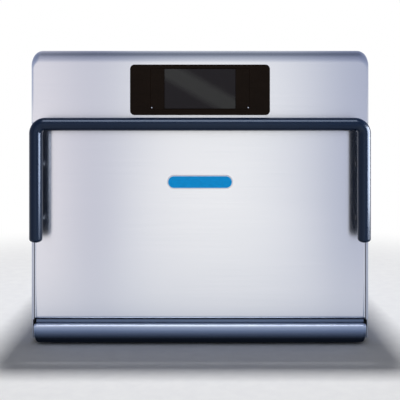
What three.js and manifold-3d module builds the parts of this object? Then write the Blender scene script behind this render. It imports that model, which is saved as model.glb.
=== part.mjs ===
// A countertop speed oven: stainless casing, drop-down door with a wrap-round tube handle,
// touch screen, jet-plate cooking chamber, twin blowers, microwave launch and cooling fan.
// Millimetres, +Z up, the front faces -Y, the origin is on the worktop under the middle.
import * as THREE from "three";
import { mergeVertices } from "three/addons/utils/BufferGeometryUtils.js";
import Module from "manifold-3d";

const wasm = await Module();
wasm.setup();

// Overall sizes
const overallWidth = 638;
const overallHeight = 557;
const overallDepth = 711;
const footHeight = 10;
const sheet = 1.5;
const fitGap = 0.3;
const cutOverrun = 5;

// Door and handle
const handleReach = 52;
const tubeRadius = 12;
const handleSideInset = 6;
const handleTopRise = 14;
const handleLegLength = 229;
const handleBendRadius = 17;
const postRadius = 7;
const postUpperDrop = 87;
const postLowerDrop = 190;
const doorSideGap = 6;
const doorBottomHeight = 47.5;
const doorThickness = 45;
const doorEdgeRadius = 3;
const badgeWidth = 124;
const badgeHeight = 26;
const badgeThickness = 2;
const badgeDrop = 107;

// Hinge line
const hingeHeight = 66;
const hingeInset = 12;
const pinRadius = 4;
const pinReach = 26;
const pinClearance = 0.3;
const bracketThickness = 2.5;
const bracketDepth = 95;
const bracketHeight = 60;
const hingeArmThickness = 4;
const hingeArmDepth = 20;
const hingeArmHeight = 150;

// Fascia, bezel and screen
const fasciaHeight = 139;
const fasciaGap = 4;
const fasciaDepth = 30;
const topRollRadius = 25;
const cornerRadius = 18;
const bezelWidth = 264;
const bezelHeight = 95.5;
const bezelDrop = 76;
const bezelRadius = 8.5;
const bezelProud = 2;
const bezelDepth = 12;
const bezelLip = 4;
const innerFrameWidth = 187;
const innerFrameHeight = 78;
const innerFrameStep = 0.8;
const screenWidth = 134;
const screenHeight = 75;
const screenThickness = 4;
const screenRise = 2;

// Bottom nose and filter
const noseBottomHeight = 3;
const noseTopHeight = 43.5;
const noseProud = 14;
const noseDepth = 22;
const noseSideInset = 11;
const noseWall = 2;
const noseCornerRadius = 8;
const noseUpperRadius = 3;
const noseCurveReach = 20;
const noseCurveRise = 36;
const filterThickness = 14;
const filterSideInset = 30;

// Cooking chamber
const chamberSideRoom = 79;
const chamberHeadroom = 89;
const chamberDepth = 420;
const chamberFloorHeight = 135;
const chamberCorner = 20;
const chamberFlange = 14;
const frameSetback = 50;
const frameSideGap = 3.5;
const insulationThickness = 22;
const plugInset = 8;
const plugReach = 12;
const sealSection = 3.6;
const sealOffset = 6;

const centre = 0;
const bodyFront = -overallDepth / 2 + handleReach;
const bodyBack = overallDepth / 2;
const halfWidth = overallWidth / 2;
const innerHalf = halfWidth - sheet;
const doorHalf = halfWidth - doorSideGap;
const doorBack = bodyFront + doorThickness;
const frameFront = bodyFront + frameSetback;
const chamberFront = frameFront + sheet + fitGap;
const chamberBack = chamberFront + chamberDepth;
const fasciaBottom = overallHeight - fasciaHeight;
const doorTopHeight = fasciaBottom - fasciaGap;
const handleTopHeight = doorTopHeight + handleTopRise;
const handleEndHeight = handleTopHeight - handleLegLength;
const badgeCentreHeight = doorTopHeight - badgeDrop;
const bezelCentreHeight = overallHeight - bezelDrop;
const screenCentreHeight = bezelCentreHeight + screenRise;
const noseWidth = overallWidth - 2 * noseSideInset;
const chamberWidth = overallWidth - 2 * chamberSideRoom;
const chamberHeight = doorTopHeight - chamberFloorHeight - chamberHeadroom;
const chamberTop = chamberFloorHeight + chamberHeight;
const chamberMiddle = chamberFloorHeight + chamberHeight / 2;

// Colours, roughness and metalness read from the photograph
const finishes = {
  stainless: { color: 0xd2d4da, roughness: 0.36, metalness: 1 },
  plainSteel: { color: 0xa9adb2, roughness: 0.5, metalness: 1 },
  darkTube: { color: 0x16233a, roughness: 0.22, metalness: 0.1 },
  blackGloss: { color: 0x1c110d, roughness: 0.12, metalness: 0 },
  screenGlass: { color: 0x32343a, roughness: 0.08, metalness: 0 },
  blueEnamel: { color: 0x0090d0, roughness: 0.2, metalness: 0 },
  rubber: { color: 0x1a1a1c, roughness: 0.85, metalness: 0 },
  chamberSteel: { color: 0xb8b9b6, roughness: 0.3, metalness: 1 },
  woven: { color: 0xe9e4d8, roughness: 0.95, metalness: 0 },
  castAlloy: { color: 0x9a9da1, roughness: 0.55, metalness: 1 },
  copper: { color: 0xb87333, roughness: 0.35, metalness: 1 },
  board: { color: 0x1f6b3a, roughness: 0.5, metalness: 0 },
  blackPlastic: { color: 0x202124, roughness: 0.6, metalness: 0 },
  ironStack: { color: 0x55504a, roughness: 0.6, metalness: 0.8 },
  ceramic: { color: 0x8d7b62, roughness: 0.9, metalness: 0 },
};

function finish(name) {
  return new THREE.MeshStandardMaterial(finishes[name]);
}

// A closed geometry as a solid that can be joined and cut
function asSolid(geometry) {
  const bare = geometry.clone();
  bare.deleteAttribute("normal");
  bare.deleteAttribute("uv");
  const merged = mergeVertices(bare, 1e-4);
  return new wasm.Manifold(
    new wasm.Mesh({
      numProp: 3,
      vertProperties: merged.attributes.position.array,
      triVerts: new Uint32Array(merged.index.array),
    }),
  );
}

function asGeometry(solid) {
  const mesh = solid.getMesh();
  return new THREE.BufferGeometry()
    .setAttribute("position", new THREE.BufferAttribute(mesh.vertProperties, 3))
    .setIndex(new THREE.BufferAttribute(mesh.triVerts, 1));
}

function join(...geometries) {
  return asGeometry(geometries.map(asSolid).reduce((whole, next) => whole.add(next)));
}

function cut(base, ...tools) {
  return asGeometry(tools.map(asSolid).reduce((left, tool) => left.subtract(tool), asSolid(base)));
}

function common(first, second) {
  return asGeometry(asSolid(first).intersect(asSolid(second)));
}

// A box between two corners given as [low, high] pairs
function block([x0, x1], [y0, y1], [z0, z1]) {
  return new THREE.BoxGeometry(x1 - x0, y1 - y0, z1 - z0).translate(
    (x0 + x1) / 2,
    (y0 + y1) / 2,
    (z0 + z1) / 2,
  );
}

function around(middle, size) {
  return [middle - size / 2, middle + size / 2];
}

// A cylinder that runs from a start point along one axis, with a flat foot and a flat end
function rod(axis, [x, y, z], radius, length, sides = 16) {
  const made = new THREE.CylinderGeometry(radius, radius, length, sides);
  if (axis === "x") {
    made.rotateZ(-Math.PI / 2).translate(x + length / 2, y, z);
  }
  if (axis === "y") {
    made.translate(x, y + length / 2, z);
  }
  if (axis === "z") {
    made.rotateX(Math.PI / 2).translate(x, y, z + length / 2);
  }
  return made;
}

// An outline with round corners, width by height, round a middle
function roundOutline(width, height, radius, corners = 6) {
  const shape = new THREE.Shape();
  const reach = Math.min(radius, width / 2, height / 2);
  const across = width / 2 - reach;
  const up = height / 2 - reach;
  const turns = [[across, up], [-across, up], [-across, -up], [across, -up]];
  turns.forEach(([x, y], quarter) => {
    for (let step = 0; step <= corners; step += 1) {
      const angle = (quarter + step / corners) * (Math.PI / 2);
      const point = [x + reach * Math.cos(angle), y + reach * Math.sin(angle)];
      if (quarter === 0 && step === 0) {
        shape.moveTo(...point);
      } else {
        shape.lineTo(...point);
      }
    }
  });
  shape.closePath();
  return shape;
}

// A plate that stands upright: its outline is seen from the front, its front face is at y
function uprightPlate(outline, [x, y, z], thickness) {
  return new THREE.ExtrudeGeometry(outline, { depth: thickness, bevelEnabled: false })
    .rotateX(Math.PI / 2)
    .translate(x, y + thickness, z);
}

// A plate that lies flat: its outline is seen from above, its lower face is at z
function flatPlate(outline, [x, y, z], thickness) {
  return new THREE.ExtrudeGeometry(outline, { depth: thickness, bevelEnabled: false })
    .translate(x, y, z);
}

// A bar along X whose section is given as [y, z] points, seen from the +X end
function barAlongX(points, xLow, xHigh) {
  const outline = new THREE.Shape(points.map(([y, z]) => new THREE.Vector2(y, z)));
  const turn = new THREE.Matrix4().makeBasis(
    new THREE.Vector3(0, 1, 0),
    new THREE.Vector3(0, 0, 1),
    new THREE.Vector3(1, 0, 0),
  );
  return new THREE.ExtrudeGeometry(outline, { depth: xHigh - xLow, bevelEnabled: false })
    .applyMatrix4(turn)
    .translate(xLow, 0, 0);
}

function arcPoints(middleA, middleB, radius, fromAngle, toAngle, steps) {
  const points = [];
  for (let step = 0; step <= steps; step += 1) {
    const angle = fromAngle + ((toAngle - fromAngle) * step) / steps;
    points.push([middleA + radius * Math.cos(angle), middleB + radius * Math.sin(angle)]);
  }
  return points;
}

// A path through given stations, so that a tube has a ring at each of them
class StationPath extends THREE.Curve {
  constructor(stations) {
    super();
    this.stations = stations.map((place) => new THREE.Vector3(...place));
  }
  getPoint(share) {
    const last = this.stations.length - 1;
    return this.stations[Math.round(share * last)].clone();
  }
  getPointAt(share) {
    return this.getPoint(share);
  }
  getTangentAt(share) {
    const last = this.stations.length - 1;
    const here = Math.round(share * last);
    const before = this.stations[Math.max(here - 1, 0)];
    const after = this.stations[Math.min(here + 1, last)];
    return after.clone().sub(before).normalize();
  }
}

function tubeThrough(stations, radius, sides) {
  const section = new THREE.Shape();
  for (let side = 0; side < sides; side += 1) {
    const angle = (side / sides) * Math.PI * 2;
    const point = [radius * Math.cos(angle), radius * Math.sin(angle)];
    if (side === 0) {
      section.moveTo(...point);
    } else {
      section.lineTo(...point);
    }
  }
  return new THREE.ExtrudeGeometry(section, {
    steps: stations.length - 1,
    extrudePath: new StationPath(stations),
    bevelEnabled: false,
  });
}

function piece(name, geometry, finishName, place = [0, 0, 0]) {
  const mesh = new THREE.Mesh(geometry, finish(finishName));
  mesh.name = name;
  mesh.position.set(...place);
  return mesh;
}

// One piece on the left and its mirror on the right
function pair(name, geometry, finishName) {
  const right = piece(`right_${name}`, geometry, finishName);
  const mirrored = geometry.index ? geometry.toNonIndexed() : geometry.clone();
  mirrored.scale(-1, 1, 1);
  const flat = mirrored.attributes.position.array;
  for (let start = 0; start < flat.length; start += 9) {
    for (let part = 0; part < 3; part += 1) {
      const held = flat[start + 3 + part];
      flat[start + 3 + part] = flat[start + 6 + part];
      flat[start + 6 + part] = held;
    }
  }
  const left = piece(`left_${name}`, mirrored, finishName);
  return [left, right];
}

// An outline whose upper corners are round, standing on its lower edge
function archOutline(half, height, radius, steps = 6) {
  const shape = new THREE.Shape();
  shape.moveTo(-half, 0);
  shape.lineTo(half, 0);
  arcPoints(half - radius, height - radius, radius, 0, Math.PI / 2, steps)
    .forEach((point) => shape.lineTo(...point));
  arcPoints(radius - half, height - radius, radius, Math.PI / 2, Math.PI, steps)
    .forEach((point) => shape.lineTo(...point));
  shape.closePath();
  return shape;
}

// Casing
const coverSkirt = 30;
const sideSetback = 3;
const returnGap = 0.8;
const rearRecess = 12;
const rearPanelBack = bodyBack - rearRecess;
const rearPanelFront = rearPanelBack - sheet;
const coverFront = bodyFront + fasciaDepth + fitGap;
const skirtBottom = overallHeight - coverSkirt;
const panTop = footHeight + sheet;
const noseFront = bodyFront - noseProud;
const noseBack = noseFront + noseDepth;
const panFlange = 22;
const panStart = 3;
const panFront = noseBack + panStart;
const shelfDrop = 18;
const shelfHeight = fasciaBottom - shelfDrop;
const shelfTop = shelfHeight + sheet;
const frameBottomGap = 4;
const frameBottom = noseTopHeight + frameBottomGap;
const slotWidth = 6;
const slotPitch = 14;
const sideSlotLength = 60;
const sideSlotCount = 9;
const sideSlotHeight = 60;
const sideSlotInset = 120;
const rearSlotLength = 190;
const rearSlotCount = 8;
const rearSlotHeight = 150;
const rearSlotInset = 52.5;
const rearSlotCentre = innerHalf - rearSlotInset - rearSlotLength / 2;
const panSlotLength = 90;
const panSlotCount = 10;
const panSlotPitch = 40;
const panSlotY = 40;

function basePan() {
  const half = innerHalf - fitGap;
  const span = [panFront, rearPanelFront - fitGap];
  const outer = block([-half, half], span, [footHeight, footHeight + panFlange]);
  const inner = block(
    [sheet - half, half - sheet],
    [panFront - cutOverrun, rearPanelFront - fitGap - sheet],
    [panTop, footHeight + panFlange + cutOverrun],
  );
  const slots = [];
  for (let slot = 0; slot < panSlotCount; slot += 1) {
    const middle = (slot - (panSlotCount - 1) / 2) * panSlotPitch;
    slots.push(
      block(
        around(middle, slotWidth),
        around(panSlotY, panSlotLength),
        [footHeight - cutOverrun, panTop + cutOverrun],
      ),
    );
  }
  return piece("base_pan", cut(outer, inner, ...slots), "plainSteel");
}

// Each side panel steps back round the fascia and the nose, with a return beside the door
function sidePanels() {
  const front = bodyFront + sideSetback;
  const noseNotch = noseTopHeight + sideSetback;
  const outline = [
    [panFront, footHeight],
    [bodyBack, footHeight],
    [bodyBack, skirtBottom - fitGap],
    [coverFront, skirtBottom - fitGap],
    [coverFront, fasciaBottom - fitGap],
    [front, fasciaBottom - fitGap],
    [front, noseNotch],
    [panFront, noseNotch],
  ];
  const slots = [];
  for (let slot = 0; slot < sideSlotCount; slot += 1) {
    slots.push(
      block(
        [innerHalf - cutOverrun, halfWidth + cutOverrun],
        around(bodyBack - sideSlotInset, sideSlotLength),
        around(sideSlotHeight + slot * slotPitch, slotWidth),
      ),
    );
  }
  const web = cut(barAlongX(outline, innerHalf, halfWidth), ...slots);
  const returnEdge = block(
    [doorHalf + returnGap, halfWidth],
    [front, front + sheet],
    [noseNotch, fasciaBottom - fitGap],
  );
  return pair("side_panel", join(web, returnEdge), "stainless");
}

function topCover() {
  const depth = bodyBack - coverFront;
  const outer = uprightPlate(
    archOutline(halfWidth, coverSkirt, cornerRadius),
    [centre, coverFront, skirtBottom],
    depth,
  );
  const inner = uprightPlate(
    archOutline(innerHalf, coverSkirt + cutOverrun - sheet, cornerRadius - sheet),
    [centre, coverFront - cutOverrun, skirtBottom - cutOverrun],
    depth + 2 * cutOverrun,
  );
  return piece("top_cover", cut(outer, inner), "stainless");
}

// The fascia's outer or inner form: a rolled top edge seen from the side, round corners from the front
function fasciaForm(inset, back) {
  const height = overallHeight - fasciaBottom - 2 * inset;
  const front = bodyFront + inset;
  const bottom = fasciaBottom + inset;
  const roll = topRollRadius - inset;
  const top = overallHeight - inset;
  const side = [
    [front, bottom],
    [back, bottom],
    [back, top],
    ...arcPoints(front + roll, top - roll, roll, Math.PI / 2, Math.PI, 8),
  ];
  const face = uprightPlate(
    archOutline(halfWidth - inset, height, cornerRadius - inset),
    [centre, front, bottom],
    back - front,
  );
  return common(face, barAlongX(side, -halfWidth, halfWidth));
}

function frontFascia() {
  const back = bodyFront + fasciaDepth;
  const opening = uprightPlate(
    roundOutline(bezelWidth - 2 * bezelLip, bezelHeight - 2 * bezelLip, bezelRadius - bezelLip),
    [centre, bodyFront - cutOverrun, bezelCentreHeight],
    sheet + 2 * cutOverrun,
  );
  const shell = cut(fasciaForm(0, back), fasciaForm(sheet, back + cutOverrun), opening);
  return piece("front_fascia", shell, "stainless");
}

function controlBezel() {
  const front = bodyFront - bezelProud;
  const inside = 2 * (bezelLip + fitGap);
  const lip = uprightPlate(
    roundOutline(bezelWidth, bezelHeight, bezelRadius),
    [centre, front, bezelCentreHeight],
    bezelProud - fitGap,
  );
  const body = uprightPlate(
    roundOutline(bezelWidth - inside, bezelHeight - inside, bezelRadius - bezelLip),
    [centre, front, bezelCentreHeight],
    bezelProud + bezelDepth,
  );
  const step = uprightPlate(
    roundOutline(innerFrameWidth, innerFrameHeight, bezelRadius / 4, 2),
    [centre, front - cutOverrun, screenCentreHeight],
    innerFrameStep + cutOverrun,
  );
  const pocket = block(
    around(centre, screenWidth + 2 * fitGap),
    [front - cutOverrun, front + innerFrameStep + screenThickness + fitGap],
    around(screenCentreHeight, screenHeight + 2 * fitGap),
  );
  return piece("control_bezel", cut(join(lip, body), step, pocket), "blackGloss");
}

function touchScreen() {
  const front = bodyFront - bezelProud + innerFrameStep;
  const glass = block(
    around(centre, screenWidth),
    [front, front + screenThickness],
    around(screenCentreHeight, screenHeight),
  );
  return piece("touch_screen", glass, "screenGlass");
}

// Rear panel with a fan grille, air slots and the cord's hole
const fanSize = 120;
const fanDepth = 38;
const fanBore = 56;
const fanInset = 167.5;
const fanSide = innerHalf - fanInset;
const fanCentre = shelfTop + fitGap + fanSize / 2;
const grillSlots = 9;
const grillRadius = 52;
const glandInset = 87.5;
const glandSide = glandInset - innerHalf;
const glandHeight = 90;
const glandRadius = 10;
const glandHex = 16;
const glandBore = 5;

function rearPanel() {
  const bottom = panTop + fitGap;
  const plate = uprightPlate(
    archOutline(innerHalf - fitGap, overallHeight - sheet - fitGap - bottom, cornerRadius),
    [centre, rearPanelFront, bottom],
    sheet,
  );
  const through = [rearPanelFront - cutOverrun, rearPanelBack + cutOverrun];
  const cuts = [
    rod("y", [glandSide, through[0], glandHeight], glandRadius + fitGap, sheet + 2 * cutOverrun),
  ];
  const spacing = (2 * grillRadius) / grillSlots;
  for (let slot = 0; slot < grillSlots; slot += 1) {
    const across = (slot - (grillSlots - 1) / 2) * spacing;
    const reach = 2 * Math.sqrt(grillRadius ** 2 - across ** 2);
    cuts.push(block(around(fanSide + across, slotWidth), through, around(fanCentre, reach)));
  }
  [-rearSlotCentre, rearSlotCentre].forEach((side) => {
    for (let slot = 0; slot < rearSlotCount; slot += 1) {
      const height = rearSlotHeight + slot * slotPitch;
      cuts.push(block(around(side, rearSlotLength), through, around(height, slotWidth)));
    }
  });
  return piece("rear_panel", cut(plate, ...cuts), "plainSteel");
}

function cordGland() {
  const insideReach = 8;
  const outsideReach = 9;
  const start = rearPanelFront - insideReach;
  const nutStart = rearPanelBack + fitGap;
  const barrel = rod(
    "y",
    [glandSide, start, glandHeight],
    glandRadius,
    nutStart + outsideReach - start,
  );
  const nut = rod("y", [glandSide, nutStart, glandHeight], glandHex, outsideReach - sheet, 6);
  const bore = rod(
    "y",
    [glandSide, start - cutOverrun, glandHeight],
    glandBore,
    nutStart + outsideReach - start + 2 * cutOverrun,
  );
  return piece("cord_gland", cut(join(barrel, nut), bore), "blackPlastic");
}

function frontFrame() {
  const half = innerHalf - frameSideGap;
  const plate = block(
    [-half, half],
    [frameFront, frameFront + sheet],
    [frameBottom, fasciaBottom - fitGap],
  );
  const mouth = uprightPlate(
    roundOutline(chamberWidth, chamberHeight, chamberCorner),
    [centre, frameFront - cutOverrun, chamberMiddle],
    sheet + 2 * cutOverrun,
  );
  const plungerHole = rod(
    "y",
    [switchSide, frameFront - cutOverrun, switchHeight],
    plungerRadius + 2 * fitGap,
    sheet + 2 * cutOverrun,
  );
  return piece("front_frame", cut(plate, mouth, plungerHole), "chamberSteel");
}

function electronicsShelf() {
  const half = innerHalf - fitGap;
  const plate = block(
    [-half, half],
    [frameFront + sheet + fitGap, rearPanelFront - fitGap],
    [shelfHeight, shelfTop],
  );
  return piece("electronics_shelf", plate, "plainSteel");
}

const footRadius = 18;
const footSideInset = 64;
const footSide = halfWidth - footSideInset;
const footFrontInset = 130;
const footRearInset = 60;

function feet() {
  const height = footHeight - fitGap;
  const places = [
    ["front_left_foot", -footSide, bodyFront + footFrontInset],
    ["front_right_foot", footSide, bodyFront + footFrontInset],
    ["rear_left_foot", -footSide, bodyBack - footRearInset],
    ["rear_right_foot", footSide, bodyBack - footRearInset],
  ];
  return places.map(([name, x, y]) => {
    const pad = rod("z", [0, 0, 0], footRadius, height, 20);
    return piece(name, pad, "rubber", [x, y, 0]);
  });
}

// Door switch: a spring plunger that the closed door presses in
const switchInset = 42.5;
const switchDrop = 40;
const switchSide = innerHalf - switchInset;
const switchHeight = doorTopHeight - switchDrop;
const plungerRadius = 3;
const plungerLength = 24;
const switchBody = 20;
const switchTall = 28;
const switchDeep = 24;

function doorSwitch() {
  const front = frameFront + sheet + fitGap;
  const body = block(
    around(switchSide, switchBody),
    [front, front + switchDeep],
    around(switchHeight, switchTall),
  );
  const bore = rod(
    "y",
    [switchSide, front - cutOverrun, switchHeight],
    plungerRadius + fitGap,
    switchDeep - 2 * sheet + cutOverrun,
  );
  return piece("door_switch", cut(body, bore), "blackPlastic");
}

function switchPlunger() {
  const start = doorBack + fitGap;
  const stem = rod("y", [0, 0, 0], plungerRadius, plungerLength, 12);
  return piece("switch_plunger", stem, "ceramic", [switchSide, start, switchHeight]);
}

// Hinge: brackets on the side panels, pins, and arms inside the door's ends
const hingeY = bodyFront + hingeInset;
const boreRadius = pinRadius + pinClearance;

function pinHole(xLow, xHigh) {
  return rod("x", [xLow - cutOverrun, hingeY, hingeHeight], boreRadius, xHigh - xLow + 2 * cutOverrun);
}

function hingeBrackets() {
  const outside = innerHalf - fitGap;
  const inside = outside - bracketThickness;
  const front = bodyFront + sideSetback + sheet + fitGap;
  const plate = block(
    [inside, outside],
    [front, front + bracketDepth],
    [hingeHeight - bracketHeight / 3, hingeHeight + (2 * bracketHeight) / 3],
  );
  return pair("hinge_bracket", cut(plate, pinHole(inside, outside)), "plainSteel");
}

function hingePins() {
  const outside = innerHalf - fitGap;
  const pin = rod("x", [outside - pinReach, hingeY, hingeHeight], pinRadius, pinReach);
  return pair("hinge_pin", pin, "plainSteel");
}

function hingeArms() {
  const outside = doorHalf - sheet - fitGap;
  const inside = outside - hingeArmThickness;
  const low = doorBottomHeight + doorEdgeRadius + fitGap;
  const strap = block(
    [inside, outside],
    around(hingeY, hingeArmDepth),
    [low, low + hingeArmHeight],
  );
  return pair("hinge_arm", cut(strap, pinHole(inside, outside)), "plainSteel");
}

// Door: an outer pan, an inner panel with a choke plug, and a seal round the mouth
const doorHeight = doorTopHeight - doorBottomHeight;
const doorMiddle = (doorTopHeight + doorBottomHeight) / 2;

function doorSkin() {
  const outer = uprightPlate(
    roundOutline(2 * doorHalf, doorHeight, doorEdgeRadius, 3),
    [centre, bodyFront, doorMiddle],
    doorThickness,
  );
  const inner = uprightPlate(
    roundOutline(2 * (doorHalf - sheet), doorHeight - 2 * sheet, doorEdgeRadius - sheet, 3),
    [centre, bodyFront + sheet, doorMiddle],
    doorThickness + cutOverrun,
  );
  const left = pinHole(-doorHalf, sheet - doorHalf);
  const right = pinHole(doorHalf - sheet, doorHalf);
  return piece("door_skin", cut(outer, inner, left, right), "stainless");
}

function doorInnerPanel() {
  const inset = 2 * (sheet + fitGap);
  const plugWidth = chamberWidth - 2 * plugInset;
  const plugHeight = chamberHeight - 2 * plugInset;
  const plugCorner = chamberCorner - plugInset;
  const plate = uprightPlate(
    roundOutline(2 * doorHalf - inset, doorHeight - inset, doorEdgeRadius - sheet, 3),
    [centre, doorBack - sheet, doorMiddle],
    sheet,
  );
  const plug = uprightPlate(
    roundOutline(plugWidth, plugHeight, plugCorner),
    [centre, doorBack - sheet, chamberMiddle],
    sheet + plugReach,
  );
  const hollow = uprightPlate(
    roundOutline(plugWidth - 2 * sheet, plugHeight - 2 * sheet, plugCorner - sheet),
    [centre, doorBack - sheet - cutOverrun, chamberMiddle],
    plugReach + cutOverrun,
  );
  return piece("door_inner_panel", cut(join(plate, plug), hollow), "chamberSteel");
}

function doorSeal() {
  const grow = 2 * (sealOffset + sealSection);
  const depth = frameFront - doorBack - 2 * fitGap;
  const outer = uprightPlate(
    roundOutline(chamberWidth + grow, chamberHeight + grow, chamberCorner + sealOffset + sealSection),
    [centre, doorBack + fitGap, chamberMiddle],
    depth,
  );
  const inner = uprightPlate(
    roundOutline(
      chamberWidth + 2 * sealOffset,
      chamberHeight + 2 * sealOffset,
      chamberCorner + sealOffset,
    ),
    [centre, doorBack + fitGap - cutOverrun, chamberMiddle],
    depth + 2 * cutOverrun,
  );
  return piece("door_seal", cut(outer, inner), "rubber");
}

// Handle: one tube, up the left arm, across the top and down the right arm, with domed ends
const handleX = halfWidth - handleSideInset - tubeRadius;
const handleY = bodyFront - handleReach + tubeRadius;
const handleTopCentre = handleTopHeight - tubeRadius;
const domeHeight = 7;
const tubeSides = 20;

function handleDome(x) {
  const profile = [
    new THREE.Vector2(0, 0),
    ...arcPoints(0, 0, 1, -Math.PI / 2, 0, 4)
      .slice(1)
      .map(([a, b]) => new THREE.Vector2(a * tubeRadius, domeHeight + b * domeHeight)),
    new THREE.Vector2(tubeRadius, 2 * domeHeight),
    new THREE.Vector2(0, 2 * domeHeight),
  ];
  return new THREE.LatheGeometry(profile, tubeSides)
    .rotateX(Math.PI / 2)
    .translate(x, handleY, handleEndHeight);
}

function handleStations() {
  const low = handleEndHeight + domeHeight;
  const bendX = handleX - handleBendRadius;
  const bendZ = handleTopCentre - handleBendRadius;
  const leftBend = arcPoints(-bendX, bendZ, handleBendRadius, Math.PI, Math.PI / 2, 6);
  const rightBend = arcPoints(bendX, bendZ, handleBendRadius, Math.PI / 2, 0, 6);
  const route = [[-handleX, low], ...leftBend, ...rightBend, [handleX, low]];
  return route.map(([x, z]) => [x, handleY, z]);
}

function doorHandle() {
  const tube = tubeThrough(handleStations(), tubeRadius, tubeSides);
  return piece("door_handle", join(tube, handleDome(-handleX), handleDome(handleX)), "darkTube");
}

// Each post runs from the door's skin to a saddle cut for the tube
function handlePosts() {
  const places = [
    ["upper_left_handle_post", -handleX, handleTopHeight - postUpperDrop],
    ["upper_right_handle_post", handleX, handleTopHeight - postUpperDrop],
    ["lower_left_handle_post", -handleX, handleTopHeight - postLowerDrop],
    ["lower_right_handle_post", handleX, handleTopHeight - postLowerDrop],
  ];
  const front = handleY + tubeRadius / 2;
  const back = bodyFront - fitGap;
  const saddle = rod(
    "z",
    [0, handleY, -2 * postRadius],
    tubeRadius + fitGap,
    4 * postRadius,
    tubeSides,
  );
  const post = cut(rod("y", [0, front, 0], postRadius, back - front), saddle);
  return places.map(([name, x, z]) => piece(name, post, "darkTube", [x, 0, z]));
}

function badgePlate() {
  const plate = uprightPlate(
    roundOutline(badgeWidth, badgeHeight, badgeHeight / 2),
    [centre, bodyFront - fitGap - badgeThickness, badgeCentreHeight],
    badgeThickness,
  );
  return piece("badge_plate", plate, "blueEnamel");
}

// Nose: a channel, open behind, that covers the air filter, with a crisp upper edge and a
// face that curves under the oven as a quarter of an ellipse
function noseForm(inset, back) {
  const low = noseBottomHeight + inset;
  const high = noseTopHeight - inset;
  const middle = (low + high) / 2;
  const face = noseFront + inset;
  const upper = noseUpperRadius - inset;
  const reach = noseCurveReach - inset;
  const rise = noseCurveRise - inset;
  const section = [
    [back, high],
    ...arcPoints(face + upper, high - upper, upper, Math.PI / 2, Math.PI, 5),
    ...arcPoints(0, 0, 1, Math.PI, (3 * Math.PI) / 2, 8)
      .map(([y, z]) => [face + reach * (1 + y), low + rise * (1 + z)]),
    [back, low],
  ];
  const outline = archOutline(noseWidth / 2 - inset, high - low, noseCornerRadius - inset, 5);
  const front = uprightPlate(outline, [centre, noseFront, low], back - noseFront)
    .translate(0, 0, -middle)
    .rotateY(Math.PI)
    .translate(0, 0, middle);
  return common(front, barAlongX(section, -noseWidth / 2, noseWidth / 2));
}

function noseTrim() {
  const intake = [];
  const count = 12;
  const pitch = noseWidth / (count + 1);
  for (let slot = 0; slot < count; slot += 1) {
    intake.push(
      block(
        around((slot - (count - 1) / 2) * pitch, pitch - slotPitch),
        around(noseBack - noseWall - slotWidth, slotWidth),
        [noseBottomHeight - cutOverrun, noseBottomHeight + noseWall + cutOverrun],
      ),
    );
  }
  const shell = cut(noseForm(0, noseBack), noseForm(noseWall, noseBack + cutOverrun), ...intake);
  return piece("nose_trim", shell, "stainless");
}

function airFilter() {
  const half = noseWidth / 2 - filterSideInset;
  const rim = 5;
  const low = panTop + fitGap;
  const high = noseTopHeight - noseWall - fitGap;
  const back = noseBack + fitGap + filterThickness;
  const frame = block([-half, half], [noseBack + fitGap, back], [low, high]);
  const count = 26;
  const pitch = (2 * (half - rim)) / count;
  const gaps = [];
  for (let gap = 0; gap < count; gap += 1) {
    const middle = (gap - (count - 1) / 2) * pitch;
    gaps.push(
      block(
        around(middle, pitch - sheet),
        [noseBack + fitGap - cutOverrun, back + cutOverrun],
        [low + rim, high - rim],
      ),
    );
  }
  return piece("air_filter", cut(frame, ...gaps), "blackPlastic");
}

// Blowers, set against the chamber's back wall
const housingSideInset = 20;
const housingRise = 10;
const housingDrop = 5;
const housingHalf = chamberWidth / 2 - housingSideInset;
const housingLow = chamberFloorHeight + housingRise;
const housingHigh = chamberTop - housingDrop;
const housingTall = housingHigh - housingLow;
const wheelShare = 0.354;
const offsetShare = 0.12;
const inletShare = 0.8;
const motorShare = 0.68;
const blowerSide = housingHalf / 2;
const blowerOffset = housingTall * offsetShare;
const wheelRadius = housingTall * wheelShare;
const wheelDepth = 32;
const wheelGap = 10;
const housingDepth = 60;
const inletRadius = wheelRadius * inletShare;
const shaftRadius = 5;
const runningGap = 0.4;
const hubRadius = 12;
const motorRadius = wheelRadius * motorShare;
const motorLength = 70;
const housingFront = chamberBack + sheet + fitGap;
const housingBack = housingFront + housingDepth;
const blowers = [
  ["upper", -blowerSide, chamberMiddle + blowerOffset],
  ["lower", blowerSide, chamberMiddle - blowerOffset],
];

// Stirrer and launch under the chamber floor
const stirrerY = chamberFront + chamberDepth / 2;
const canRadius = 78;
const canHeight = 38;
const floorHole = 70;
const ductInset = 5;
const ductHalf = chamberWidth / 2 - ductInset;
const ductWidth = 90;
const ductTop = chamberFloorHeight - sheet - fitGap;
const ductBottom = ductTop - canHeight;
const antennaRadius = 10;
const magnetronInset = 45;
const magnetronSide = ductHalf - magnetronInset;

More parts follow.
